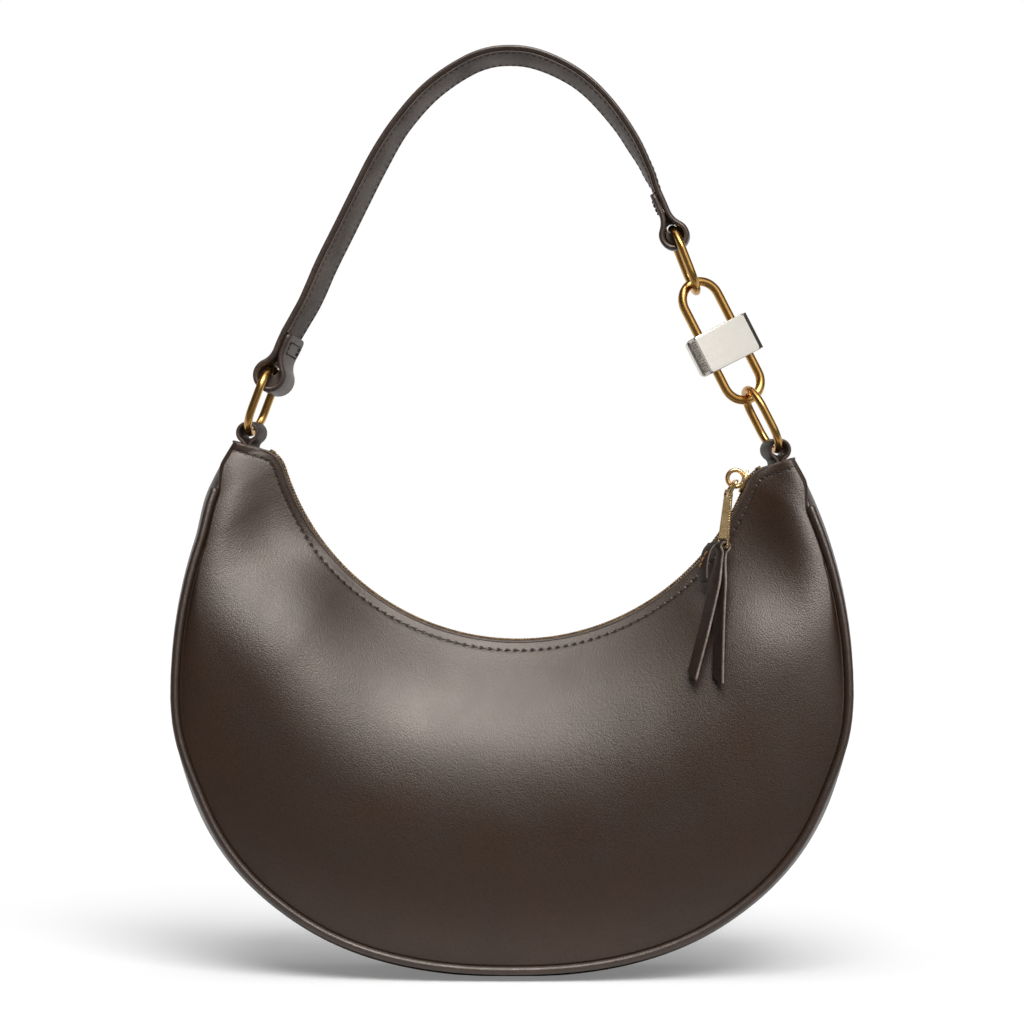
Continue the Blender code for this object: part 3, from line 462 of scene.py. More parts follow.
def makeMetalWear():
    group, given, out = newGroup("MetalWear", [
        ("Vector", "Vector", (0, 0, 0)), ("Brush Stretch", "Vector", (1.0, 1.0, 1.0)),
        ("Brush Scale", "Float", 1800.0), ("Tarnish Scale", "Float", 260.0)],
        [("Brush", "Float"), ("Tarnish", "Float"), ("Scratches", "Float")])
    n = Nodes(group)
    stretched = n.add("VectorMath", {0: given.outputs["Vector"], 1: given.outputs["Brush Stretch"]},
                      operation="MULTIPLY")
    brush = n.add("TexNoise", {"Vector": stretched, "Scale": given.outputs["Brush Scale"], "Detail": 3.0})
    tarnish = n.add("TexNoise", {"Vector": given.outputs["Vector"], "Scale": given.outputs["Tarnish Scale"],
                                 "Detail": 5.0, "Roughness": 0.6})
    lines = n.add("TexVoronoi", {"Vector": stretched, "Scale": 340.0}, feature="DISTANCE_TO_EDGE")
    n.put(out.inputs["Brush"], brush.outputs["Fac"])
    n.put(out.inputs["Tarnish"], n.range(tarnish.outputs["Fac"], 0.38, 0.68, 0.0, 1.0))
    n.put(out.inputs["Scratches"], n.range(lines.outputs["Distance"], 0.0, 0.015, 1.0, 0.0))
    return group


def makeWeave():
    group, given, out = newGroup("ClothWeave", [("Vector", "Vector", (0, 0, 0)),
                                                ("Threads", "Float", 1800.0)],
                                 [("Height", "Float"), ("Shade", "Float")])
    n = Nodes(group)
    parts = n.add("SeparateXYZ",
                  {"Vector": n.add("VectorMath", {0: given.outputs["Vector"],
                                                  "Scale": given.outputs["Threads"]}, operation="SCALE")})
    along = n.math("SINE", n.times(parts.outputs["X"], math.pi))
    across = n.math("SINE", n.times(n.plus(parts.outputs["Y"], parts.outputs["Z"]), math.pi))
    woven = n.times(along, across)
    fuzz = n.add("TexNoise", {"Vector": given.outputs["Vector"], "Scale": 2600.0, "Detail": 3.0})
    n.put(out.inputs["Height"], n.plus(woven, fuzz.outputs["Fac"]))
    n.put(out.inputs["Shade"], n.range(n.plus(woven, fuzz.outputs["Fac"]), -0.6, 1.6, 0.0, 1.0))
    return group


def makeTwist():
    group, given, out = newGroup("ThreadTwist", [("Vector", "Vector", (0, 0, 0)), ("Turns", "Float", 1900.0)],
                                 [("Height", "Float"), ("Shade", "Float")])
    n = Nodes(group)
    wave = n.add("TexWave", {"Vector": given.outputs["Vector"], "Scale": given.outputs["Turns"],
                             "Distortion": 0.6}, bands_direction="DIAGONAL")
    fuzz = n.add("TexNoise", {"Vector": given.outputs["Vector"], "Scale": 7000.0, "Detail": 2.0})
    n.put(out.inputs["Height"], n.plus(wave.outputs["Fac"], n.times(fuzz.outputs["Fac"], 0.5)))
    n.put(out.inputs["Shade"], n.math("MULTIPLY", wave.outputs["Fac"], 0.8, clamp=True))
    return group


def makeSeamPress():
    # leather pressed down beside a row of stitches; the piece's own map runs along and away from the edge
    # its Dent mask also marks where painted shade darkens the stitch holes and the groove between them
    group, given, out = newGroup("SeamPress", [
        ("Seam Map", "Vector", (0, 0, 0)), ("Row Distance", "Float", 0.0037), ("Pitch", "Float", 0.0036),
        ("Dent Length", "Float", 0.0010), ("Dent Width", "Float", 0.0008)],
        [("Height", "Float"), ("Edge", "Float"), ("Dent", "Float")])
    n = Nodes(group)
    parts = n.add("SeparateXYZ", {"Vector": given.outputs["Seam Map"]})
    phase = n.math("FRACT", n.math("DIVIDE", parts.outputs["X"], given.outputs["Pitch"]))
    fromHole = n.times(n.math("MINIMUM", phase, n.minus(1.0, phase)), given.outputs["Pitch"])
    across = n.math("ABSOLUTE", n.minus(parts.outputs["Y"], given.outputs["Row Distance"]))
    a = n.math("DIVIDE", fromHole, given.outputs["Dent Length"])
    b = n.math("DIVIDE", across, given.outputs["Dent Width"])
    away = n.math("SQRT", n.plus(n.times(a, a), n.times(b, b)))
    dentShade = n.range(away, 0.15, 1.0, 1.0, 0.0)
    groove = n.range(b, 0.0, 1.4, 1.0, 0.0)
    n.put(out.inputs["Height"], n.minus(0.0, n.plus(n.times(dentShade, 0.7), n.times(groove, 0.25))))
    n.put(out.inputs["Edge"], n.range(parts.outputs["Y"], 0.0, 0.0011, 1.0, 0.0))
    # Dent: painted shade in the stitch holes and, more faintly, in the groove along the row
    n.put(out.inputs["Dent"], n.math("MAXIMUM", dentShade, n.times(groove, 0.35)))
    return group


leatherGrain = makeLeatherGrain()
metalWear = makeMetalWear()
clothWeave = makeWeave()
threadTwist = makeTwist()
seamPress = makeSeamPress()


def placeGroup(n, group, inputs):
    node = n.tree.nodes.new("ShaderNodeGroup")
    node.node_tree = group
    for key, value in inputs.items():
        n.put(node.inputs[key], value)
    return node


def newMaterial(name):
    made = bpy.data.materials.new(name)
    made.use_nodes = True
    n = Nodes(made.node_tree)
    shader = made.node_tree.nodes["Principled BSDF"]
    where = n.add("TexCoord").outputs["Object"]
    return made, n, shader, where


def joinShader(n, shader, colour, rough, height, bump):
    n.put(shader.inputs["Base Color"], colour)
    n.put(shader.inputs["Roughness"], rough)
    n.put(shader.inputs["Normal"], n.add("Bump", {"Strength": 1.0, "Distance": bump, "Height": height}))


leatherLook = {
    "bodyLeather": dict(gloss=0.68, dark=(0.0255, 0.0126, 0.0072), light=(0.0375, 0.0186, 0.0106),
                        rough=(0.33, 0.41), grain=1500.0, pebble=0.55, bump=0.00010, mottle=34.0, seam=True),
    "pipingLeather": dict(gloss=0.8, dark=(0.020, 0.0100, 0.0062), light=(0.044, 0.024, 0.0155),
                          rough=(0.32, 0.46), grain=1700.0, pebble=0.5, bump=0.00008, mottle=90.0,
                          seam=False),
    "strapLeather": dict(gloss=1.0, dark=(0.034, 0.0205, 0.0150), light=(0.068, 0.044, 0.034),
                         rough=(0.36, 0.50), grain=1600.0, pebble=0.55, bump=0.00009, mottle=60.0,
                         seam=False),
    "strapLiningLeather": dict(gloss=0.7, dark=(0.065, 0.046, 0.037), light=(0.125, 0.090, 0.075),
                               rough=(0.48, 0.62), grain=1800.0, pebble=0.4, bump=0.00006, mottle=70.0,
                               seam=False),
    "tabLeather": dict(gloss=0.7, dark=(0.020, 0.0125, 0.0095), light=(0.046, 0.030, 0.023),
                       rough=(0.40, 0.55), grain=1700.0, pebble=0.5, bump=0.00008, mottle=90.0, seam=False),
    "tasselLeather": dict(gloss=0.6, dark=(0.016, 0.0080, 0.0052), light=(0.036, 0.020, 0.0135),
                          rough=(0.38, 0.52), grain=1900.0, pebble=0.5, bump=0.00007, mottle=110.0,
                          seam=False),
    # lip bead: edge paint, made lighter than the body as a painted highlight line along the rounded lip
    "lipEdgeHighlight": dict(gloss=0.6, dark=(0.045, 0.030, 0.023), light=(0.110, 0.078, 0.063), rough=(0.32, 0.44),
                    grain=900.0, pebble=0.25, bump=0.00004, mottle=120.0, seam=False),
    # tassel edges: edge paint, made much lighter than the strips as a painted highlight along their rounded
    # edges
    "tasselEdgeHighlight": dict(gloss=0.5, dark=(0.080, 0.055, 0.044), light=(0.170, 0.125, 0.105),
                       rough=(0.34, 0.46), grain=900.0, pebble=0.25, bump=0.00004, mottle=160.0, seam=False),
    "edgePaint": dict(gloss=0.8, dark=(0.036, 0.0215, 0.0160), light=(0.084, 0.056, 0.044),
                      rough=(0.30, 0.42), grain=900.0, pebble=0.25, bump=0.00005, mottle=160.0, seam=False),
}


# edge: lighter leather along the lip; dentShade: painted shade darkening the stitch holes and their groove
seamLook = {"edge": (0.085, 0.055, 0.040, 1), "edgeShare": 0.45, "dentShade": (0.006, 0.003, 0.002, 1),
            "dentShadeShare": 0.8, "depth": 2.6}


def leather(name):
    v = leatherLook[name]
    made, n, shader, where = newMaterial(name)
    grain = placeGroup(n, leatherGrain, {"Vector": where, "Grain Scale": v["grain"],
                                         "Pebble Depth": v["pebble"], "Mottle Scale": v["mottle"]})
    colour = n.blend(grain.outputs["Mottle"], (*v["dark"], 1), (*v["light"], 1))
    colour = n.blend(n.times(grain.outputs["Pores"], 0.45), colour, tuple(c * 0.5 for c in v["dark"]) + (1,))
    rough = n.range(grain.outputs["Mottle"], 0.0, 1.0, v["rough"][1], v["rough"][0])
    height = grain.outputs["Height"]
    if v["seam"]:
        seamMap = n.add("UVMap", uv_map="seam")
        press = placeGroup(n, seamPress, {"Seam Map": seamMap.outputs["UV"]})
        # a lighter edge along the lip, and painted shade darkening the stitch holes and their groove
        for label, key in (("Edge", "edge"), ("Dent", "dentShade")):
            share = n.times(press.outputs[label], seamLook[key + "Share"])
            colour = n.blend(share, colour, seamLook[key])
        height = n.plus(height, n.times(press.outputs["Height"], seamLook["depth"]))
    joinShader(n, shader, colour, rough, height, v["bump"])
    shader.inputs["Specular IOR Level"].default_value = v["gloss"]
    shader.inputs["Specular Tint"].default_value = (1.0, 0.91, 0.85, 1.0)
    return made


metalLook = {
    "chainBrass": dict(bright=(0.66, 0.375, 0.115), dull=(0.50, 0.265, 0.074), rough=(0.22, 0.28),
                       stretch=(1.0, 1.0, 0.25), bump=0.000002, tarnish=110.0),
    "zipMetal": dict(bright=(0.84, 0.60, 0.30), dull=(0.66, 0.44, 0.19), rough=(0.20, 0.32),
                     stretch=(1.0, 1.0, 0.2), bump=0.000006, tarnish=260.0),
    "lockPlateMetal": dict(bright=(0.83, 0.79, 0.72), dull=(0.79, 0.745, 0.67), rough=(0.14, 0.18),
                           stretch=(0.15, 1.0, 0.3), bump=0.0000015, tarnish=220.0),
    "lockBodyMetal": dict(bright=(0.66, 0.61, 0.54), dull=(0.26, 0.22, 0.18), rough=(0.20, 0.38),
                          stretch=(1.0, 1.0, 1.0), bump=0.00001, tarnish=520.0),
    "zipTeethMetal": dict(bright=(0.210, 0.130, 0.062), dull=(0.060, 0.036, 0.020), rough=(0.30, 0.5),
                          stretch=(1.0, 1.0, 1.0), bump=0.00001, tarnish=700.0),
}


def metal(name, hatch=None):
    v = metalLook[name.replace("Hatched", "")]
    made, n, shader, where = newMaterial(name)
    wear = placeGroup(n, metalWear, {"Vector": where, "Brush Stretch": v["stretch"],
                                     "Tarnish Scale": v["tarnish"]})
    colour = n.blend(wear.outputs["Tarnish"], (*v["bright"], 1), (*v["dull"], 1))
    rough = n.range(wear.outputs["Tarnish"], 0.0, 1.0, v["rough"][0], v["rough"][1])
    rough = n.math("ADD", rough, n.times(n.minus(wear.outputs["Brush"], 0.5), 0.10), clamp=True)
    height = n.plus(wear.outputs["Brush"], n.times(wear.outputs["Scratches"], -0.8))
    if hatch:  # fine crossed lines cut into the face
        place = n.add("SeparateXYZ", {"Vector": where})
        across = n.times(place.outputs["Y"], hatch["yShare"])
        for sign in (1.0, -1.0):
            slope = n.plus(n.times(place.outputs["Z"], sign), across)
            lines = n.math("SINE", n.times(slope, 2 * math.pi / hatch["pitch"]))
            cut = n.math("MAXIMUM", lines, 0.0)
            height = n.plus(height, n.times(cut, -hatch["depth"]))
            colour = n.blend(n.times(cut, hatch["shade"]), colour, tuple(c * 0.45 for c in v["dull"]) + (1,))
    joinShader(n, shader, colour, rough, height, v["bump"])
    shader.inputs["Metallic"].default_value = 1.0
    return made


clothLook = {
    "zipTape": dict(dark=(0.008, 0.005, 0.004), light=(0.030, 0.019, 0.014), threads=2400.0, bump=0.00012),
    "liningCloth": dict(dark=(0.030, 0.020, 0.015), light=(0.080, 0.056, 0.042), threads=1700.0,
                        bump=0.00010),
}


def cloth(name):
    v = clothLook[name]
    made, n, shader, where = newMaterial(name)
    weave = placeGroup(n, clothWeave, {"Vector": where, "Threads": v["threads"]})
    colour = n.blend(weave.outputs["Shade"], (*v["dark"], 1), (*v["light"], 1))
    rough = n.range(weave.outputs["Shade"], 0.0, 1.0, 0.95, 0.75)
    joinShader(n, shader, colour, rough, weave.outputs["Height"], v["bump"])
    shader.inputs["Sheen Weight"].default_value = 0.25
    return made


threadLook = {
    "bodyThread": dict(dark=(0.014, 0.008, 0.006), light=(0.060, 0.038, 0.028)),
    "strapThread": dict(dark=(0.016, 0.009, 0.007), light=(0.060, 0.040, 0.031)),
    "tasselThread": dict(dark=(0.120, 0.050, 0.015), light=(0.420, 0.200, 0.070)),
}


def thread(name):
    v = threadLook[name]
    made, n, shader, where = newMaterial(name)
    twist = placeGroup(n, threadTwist, {"Vector": where})
    colour = n.blend(twist.outputs["Shade"], (*v["dark"], 1), (*v["light"], 1))
    rough = n.range(twist.outputs["Shade"], 0.0, 1.0, 0.7, 0.5)
    joinShader(n, shader, colour, rough, twist.outputs["Height"], 0.00006)
    return made


bodyLeather = leather("bodyLeather")
pipingLeather = leather("pipingLeather")
strapLeather = leather("strapLeather")
strapLiningLeather = leather("strapLiningLeather")
tabLeather = leather("tabLeather")
tasselLeather = leather("tasselLeather")
edgePaint = leather("edgePaint")
tasselEdgeHighlight = leather("tasselEdgeHighlight")
lipEdgeHighlight = leather("lipEdgeHighlight")
chainBrass = metal("chainBrass")
zipMetal = metal("zipMetal")
zipMetalHatched = metal("zipMetalHatched", hatch=dict(pitch=0.0011, yShare=1.25, depth=9.0, shade=0.40))
lockPlateMetal = metal("lockPlateMetal")
lockBodyMetal = metal("lockBodyMetal")
zipTeethMetal = metal("zipTeethMetal")
zipTape = cloth("zipTape")
liningCloth = cloth("liningCloth")
bodyThread = thread("bodyThread")
strapThread = thread("strapThread")
tasselThread = thread("tasselThread")
print("finishes made")


# the body's outline and its mouth

bagShape = {
    "width": 0.300, "lowerReach": 0.1264, "upperReach": 0.180, "baseFlat": 0.0015,
    "lowerPower": 2.25, "upperPower": 2.0, "hornHeight": 0.230, "hornFall": 0.006,
    "mouthRadius": 0.108, "mouthHeight": 0.2537, "mouthOffset": 0.0026, "mouthTilt": 1.75,
    "baseHalfDepth": 0.030, "hornHalfDepth": 0.009, "mouthHalfDepth": 0.0075,
    "crown": 0.006, "crownShare": 0.60, "hornCrownShare": 1.0, "depthPower": 3.0,
    "slopePower": 0.60, "hornSlopePower": 0.90,
    "pipingRadius": 0.0019, "pipingInset": 0.0040, "pipingStart": 0.0215, "gussetStart": 0.010,
    "gussetBulge": 0.0032, "leather": 0.0014, "shoulder": 0.0068, "leftLean": (0.0028, 0.190, 0.024),
    "lowerTrim": 0.0021, "lowerTuck": 0.0021,
}

widestHeight = bagShape["lowerReach"] - bagShape["baseFlat"]
mouthCentre = np.array([bagShape["mouthOffset"], bagShape["mouthHeight"]])
mouthRadius = bagShape["mouthRadius"]


def powerCurve(reach, power, angle):
    half = bagShape["width"] / 2
    return half * max(math.cos(angle), 0) ** (2 / power), reach * math.sin(angle) ** (2 / power)


def hornAngle(height):
    return math.asin(((height - widestHeight) / bagShape["upperReach"]) ** (bagShape["upperPower"] / 2))


levelReach = powerCurve(bagShape["upperReach"], bagShape["upperPower"], hornAngle(bagShape["hornHeight"]))[0]
hornTilt = levelReach * math.tan(math.radians(bagShape["mouthTilt"]))
hornHeights = (bagShape["hornHeight"] + hornTilt, bagShape["hornHeight"] - hornTilt)


def makeOutline(quarter=300):
    points = []
    for side, height in zip((-1, 1), hornHeights):
        half = []
        for i in range(quarter):
            x, z = powerCurve(bagShape["upperReach"], bagShape["upperPower"],
                              hornAngle(height) * (1 - i / quarter))
            half.append((side * x, widestHeight + z))
        for i in range(quarter + 1):
            x, z = powerCurve(bagShape["lowerReach"], bagShape["lowerPower"], math.pi / 2 * i / quarter)
            half.append((side * x, widestHeight - z))
        points += half if side < 0 else half[-2::-1]
    points = np.array(points)
    corners = points[0].copy(), points[-1].copy()
    reach, start, height = bagShape["leftLean"]
    points[:, 0] -= np.where(points[:, 0] < 0, reach * ease((points[:, 1] - start) / height), 0)
    low = ease(points[:, 1] / 0.03) * (1 - ease((points[:, 1] - 0.080) / 0.045))
    points[:, 0] -= np.sign(points[:, 0]) * bagShape["lowerTrim"] * low
    return Route(points), corners


def mouthPoint(angle, radius=mouthRadius):
    angle = np.asarray(angle, float)
    return mouthCentre + radius * np.stack([np.cos(angle), np.sin(angle)], -1)


outline, hornCorners = makeOutline()
drops = [bagShape["mouthHeight"] - h + bagShape["hornFall"] for h in hornHeights]
mouthStart = math.pi + math.asin(drops[0] / mouthRadius)
mouthEnd = 2 * math.pi - math.asin(drops[1] / mouthRadius)


def makeLip():  # from the left horn's corner over its shoulder, round the mouth, to the right horn's corner
    reach = bagShape["shoulder"]
    turn = reach / mouthRadius
    arc = mouthPoint(np.linspace(mouthStart + turn, mouthEnd - turn, 260))
    lines = []
    for corner, angle, sign in ((outline.points[0], mouthStart, 1), (outline.points[-1], mouthEnd, -1)):
        bend = mouthPoint(angle)
        start = bend + unit(corner - bend) * reach
        end = mouthPoint(angle + sign * turn)
        t = np.linspace(0, 1, 24)[:, None]
        curve = (1 - t) ** 2 * start + 2 * t * (1 - t) * bend + t * t * end
        lines.append((np.linspace(0, 1, 12)[:, None] * (start - corner) + corner, curve))
    left = np.concatenate([lines[0][0][:-1], lines[0][1][:-1]])
    right = np.concatenate([lines[1][1][:-1][::-1], lines[1][0][:-1][::-1]])
    tops = [np.linalg.norm(line[-1] - line[0]) for line, _ in lines]
    return Route(np.concatenate([left, arc, right])), *tops


lip, leftTop, rightTop = makeLip()
brimLength = lip.length - leftTop - rightTop


def halfDepth(height):
    share = np.clip(height / bagShape["hornHeight"], 0, 1)
    return mix(bagShape["baseHalfDepth"], bagShape["hornHalfDepth"], share ** bagShape["depthPower"])


def columnPlaces(count, low=0.0):  # lengths along the outline, closer together near the horns
    even = np.linspace(0, 1, count)
    eased = (1 - np.cos(math.pi * even)) / 2
    tight = (1 - np.cos(math.pi * eased)) / 2
    return low + (outline.length - 2 * low) * (0.45 * even + 0.25 * eased + 0.30 * tight)


class Columns:  # sections across the body at lengths along its outline

    def __init__(self, s):
        self.s = s
        self.outer = outline.at(s)
        self.inward = leftOf(outline.heading(np.clip(s, 0.002, outline.length - 0.002), 0.0019))
        self.depth = halfDepth(self.outer[:, 1])
        self.fromHorn = np.minimum(s, outline.length - s)
        clear = bagShape["pipingInset"] + bagShape["pipingRadius"] + 0.0008
        self.ramp = ease((self.fromHorn - 0.010) / (bagShape["pipingStart"] - 0.006))
        self.tuck = bagShape["lowerTuck"] * (1 - ease((self.outer[:, 1] - 0.070) / 0.040))
        self.inset = mix(0.0023, clear, self.ramp) + self.tuck
        self.edge = self.outer + self.inward * self.inset[:, None]
        self.brim = lip.at(leftTop + brimLength * s / outline.length)
        self.reach = np.linalg.norm(self.brim - self.edge, axis=1)

    def panelDepth(self, away):  # away is the distance from the mouth, one value per column
        deepest = bagShape["mouthHeight"] - mouthRadius
        full = self.depth + bagShape["crown"] * self.reach / deepest
        horn = ease((0.75 - self.reach / deepest) / 0.45)
        crest = mix(bagShape["crownShare"], bagShape["hornCrownShare"], horn) * self.reach
        rise = np.clip(away / crest, 0, 1) ** mix(bagShape["slopePower"], bagShape["hornSlopePower"], horn)
        up = mix(bagShape["mouthHalfDepth"], full, (1 - np.cos(math.pi * rise)) / 2)
        fall = np.clip((away - crest) / np.maximum(self.reach - crest, 1e-6), 0, 1)
        return np.where(away < crest, up, mix(full, self.depth, fall**2.7))


panelDetail = {"columns": 300, "undulation": 0.00055, "wavelength": 0.055}


def softness(points, side, fade):  # slow dents and swells in the leather
    out = np.zeros(len(points))
    scale = 1 / panelDetail["wavelength"]
    for i, (x, z) in enumerate(points):
        a = noise.noise(Vector((x * scale, z * scale * 0.7, 3.1 * side)))
        b = noise.noise(Vector((x * scale * 2.6, z * scale * 1.6, 9.7 * side)))
        out[i] = a + 0.35 * b
    return out * panelDetail["undulation"] * fade


def makePanel(name, side, node):
    columns = Columns(columnPlaces(panelDetail["columns"]))
    count = len(columns.s)
    near = np.array([0, .4, .9, 1.5, 2.2, 2.9, 3.4, 3.7, 4.0, 4.5, 5.3, 6.5, 8.0]) / 1000
    far = np.linspace(0, 1, 44)[1:]
    shares = 1 - (1 - far) ** 1.15
    lines = [np.minimum(away, 0.6 * columns.reach) for away in near]
    lines += [near[-1] + (columns.reach - near[-1]) * t for t in shares]
    grid = np.zeros((count, len(lines), 3))
    for j, away in enumerate(lines):
        flat = columns.brim + (columns.edge - columns.brim) * (away / columns.reach)[:, None]
        depth = columns.panelDepth(away)
        fromLip, _ = lip.nearest(flat)
        fade = ease(fromLip / 0.02) * ease((columns.reach - away) / 0.02)
        depth = depth + softness(flat, side, fade)
        depth -= 0.00010 * np.exp(-((fromLip - 0.0037) / 0.0009) ** 2)
        grid[:, j] = inSpace(flat, side * depth)
    # the leather rolls round the horns' sides, and lower down it dips behind the piping
    rolls = []
    steps = 12
    bend = mix(0.0020, 0.0010, columns.ramp)
    deepest = mix(columns.depth - 0.0003, bend + 0.0012, ease((columns.fromHorn - 0.009) / 0.004))
    for k in range(1, steps + 1):
        turn = min(k / steps / 0.5, 1) * math.pi / 2
        inset = columns.inset - bend * math.sin(turn)
        drop = bend * (1 - math.cos(turn))
        drop = mix(drop, deepest, max(k / steps / 0.5 - 1, 0))
        rolls.append(inSpace(columns.outer + columns.inward * inset[:, None], side * (columns.depth - drop)))
    grid = np.concatenate([grid, np.stack(rolls, 1)], 1)
    normal = gridNormals(grid)
    if (normal[:, 5, 1].mean() > 0) == (side < 0):
        normal = -normal
    verts, faces = shell(grid, -normal, bagShape["leather"])
    away, along = lip.nearest(verts[:, [0, 2]])
    away = away + np.where(np.abs(verts[:, 1]) < 0.0062, 0.02, 0.0)
    makePiece(name, verts, faces, bodyLeather, "bag", node=node,
              uv=np.stack([along, away], 1))
    return grid[:, :40], normal[:, :40]  # the part beside the lip


nearLip = {-1: makePanel("frontPanelSkin", -1, "front_panel"), 1: makePanel("backPanelSkin", 1, "back_panel")}
print("panels made")


def lipSurface(side, away):  # points on a panel at a distance from its lip, and the way out of the leather
    s = np.linspace(0.0032, lip.length - 0.0032, 420)
    flat = lip.at(s) + rightOf(lip.heading(s, 0.0015)) * away
    spots, normals = [grid.reshape(-1, 3) for grid in nearLip[side]]
    places, ways = [], []
    for p in flat:
        d = (spots[:, 0] - p[0]) ** 2 + (spots[:, 2] - p[1]) ** 2
        best = np.argpartition(d, 4)[:4]
        w = 1 / (d[best] + 1e-9)
        w /= w.sum()
        y = (spots[best, 1] * w).sum()
        places.append((p[0], y, p[1]))
        ways.append(unit((normals[best] * w[:, None]).sum(0)))
    return np.array(places), np.array(ways)


lipDetail = {"stitchDistance": 0.0037, "pitch": 0.0036, "stitchLength": 0.0026, "threadRadius": 0.00028,
             "bead": 0.00062, "beadInset": 0.00030, "beadDrop": 0.00015}


def makeTopstitch(name, side):
    places, ways = lipSurface(side, lipDetail["stitchDistance"])
    verts, faces = stitches(places, ways, lipDetail["pitch"], lipDetail["stitchLength"],
                            lipDetail["threadRadius"], lift=0.05)
    return makePiece(name, verts, faces, bodyThread, "bag", turn=False)


def makeLipBead(name, side):  # the edge of the leather all along the top: partly its edge paint, partly a painted highlight line in a lighter colour
    s = np.linspace(0.0004, lip.length - 0.0004, 520)
    flat = lip.at(s) + rightOf(lip.heading(s, 0.0010)) * lipDetail["beadDrop"]
    reach = bagShape["mouthHalfDepth"] - lipDetail["beadInset"]
    rise = np.minimum(s, lip.length - s)
    places = inSpace(flat, side * (reach + 0.0004 * (1 - ease(rise / 0.006))))
    verts, faces = tube(places, lipDetail["bead"], 10, roundEnds=True)
    return makePiece(name, verts, faces, lipEdgeHighlight, "bag")


for word, side in (("front", -1), ("back", 1)):
    makeTopstitch(word + "LipStitches", side)
for word, side in (("front", -1), ("back", 1)):
    makeLipBead(word + "LipEdgeHighlight", side)


# gusset, piping and lining

def makeGusset():
    start = bagShape["gussetStart"]
    columns = Columns(columnPlaces(260, start))
    half = columns.depth - bagShape["pipingRadius"] - 0.0003
    across = np.concatenate([[-1.0], np.linspace(-0.985, 0.985, 21), [1.0]])
    rows = []
    for a in across:
        flat = columns.outer + columns.inward * ((bagShape["gussetBulge"] + columns.tuck) * a * a)[:, None]
        flat[:, 1] = np.maximum(flat[:, 1], 0.0)
        rows.append(inSpace(flat, a * half))
    tuck = []
    for sign in (-1, 1):
        steps = []
        for t in (0.35, 0.7, 1.0):
            q = mix(bagShape["gussetBulge"], 0.0049, t)
            steps.append(inSpace(columns.outer + columns.inward * (q + columns.tuck)[:, None],
                                 sign * (half + 0.0005 * math.sin(math.pi * t / 2))))
        tuck.append(steps)
    lines = tuck[0][::-1] + rows + tuck[1]
    grid = np.stack(lines, 1)
    normal = gridNormals(grid)
    middle = len(lines) // 2
    if normal[130, middle, 2] > 0:
        normal = -normal
    verts, faces = shell(grid, -normal, bagShape["leather"])
    return makePiece("gussetStrip", verts, faces, bodyLeather, "bag", node="gusset",
                     uv=np.full((len(verts), 2), 0.03))


def makePiping(name, side, node):
    s = np.linspace(bagShape["pipingStart"] + 0.0018, outline.length - bagShape["pipingStart"] - 0.0018, 420)
    columns = Columns(s)
    inset = columns.inset - bagShape["pipingRadius"] - 0.0008
    places = inSpace(columns.outer + columns.inward * inset[:, None], side * columns.depth)
    radius = bagShape["pipingRadius"] * (1 + 0.018 * np.sin(s * 900) * np.sin(s * 310))
    verts, faces = tube(places, radius, 18, roundEnds=True)
    return makePiece(name, verts, faces, pipingLeather, "bag", node=node)


liningShape = {"inset": 0.0024, "corner": 0.0045, "top": 0.0032, "wall": 0.0005}


def makeLining():
    inset, corner = liningShape["inset"], liningShape["corner"]
    columns = Columns(columnPlaces(120, 0.012))
    deepest = columns.reach - corner
    front = []
    for t in np.linspace(0, 1, 22):
        away = mix(liningShape["top"], deepest, t)
        flat = columns.brim + (columns.edge - columns.brim) * (away / columns.reach)[:, None]
        front.append((flat, columns.panelDepth(away) - inset))
    floor = columns.outer + columns.inward * (bagShape["gussetBulge"] + bagShape["leather"] + inset
                                              + columns.tuck)[:, None]
    lines = [inSpace(flat, -depth) for flat, depth in front]
    lines += [inSpace(floor, (columns.depth - corner) * a) for a in np.linspace(-1, 1, 11)]
    lines += [inSpace(flat, depth) for flat, depth in front[::-1]]
    grid = np.stack(lines, 1)
    normal = gridNormals(grid)
    verts, faces = shell(grid, normal if normal[60, 27, 2] > 0 else -normal, liningShape["wall"])
    return makePiece("liningBag", verts, faces, liningCloth, "bag", node="lining")


makeGusset()
makePiping("frontPipingCord", -1, "front_piping")
makePiping("backPipingCord", 1, "back_piping")
makeLining()


hornFloor = {"start": 0.0012, "past": 0.0035, "drop": 0.0030, "hollow": 0.0016, "half": (0.0071, 0.0060),
             "wall": 0.0009}


def makeHornFloor(name, sign):  # the leather turned in between the panels at a horn's top
    v = hornFloor
    s = np.linspace(v["start"], (leftTop if sign < 0 else rightTop) + v["past"], 14)
    s = s if sign < 0 else lip.length - s
    down = rightOf(lip.heading(s, 0.001))
    flat = lip.at(s) + down * v["drop"]
    half = mix(*v["half"], np.linspace(0, 1, len(s)))
    grid = np.stack([inSpace(flat - down * (v["hollow"] * (a * a - 0.2)), a * half)
                     for a in np.linspace(-1, 1, 9)], 1)
    verts, faces = shell(grid, np.broadcast_to(np.array([0, 0, -1.0]), grid.shape), v["wall"])
    return makePiece(name, verts, faces, tabLeather, "bag")


makeHornFloor("leftHornTop", -1)
makeHornFloor("rightHornTop", 1)
print("gusset, piping and lining made")


# zip

zipShape = {
    "teethProud": 0.0012, "teethHeight": 0.0023, "toothPitch": 0.00135, "toothLength": 0.0021,
    "toothShare": 0.62, "toothAside": 0.00125, "toothEdge": 0.00022, "tapeInner": 0.0016, "tapeWall": 0.0006,
    "tapeOuter": 0.0058, "tapeDrop": 0.0006, "ends": 0.0050,
}


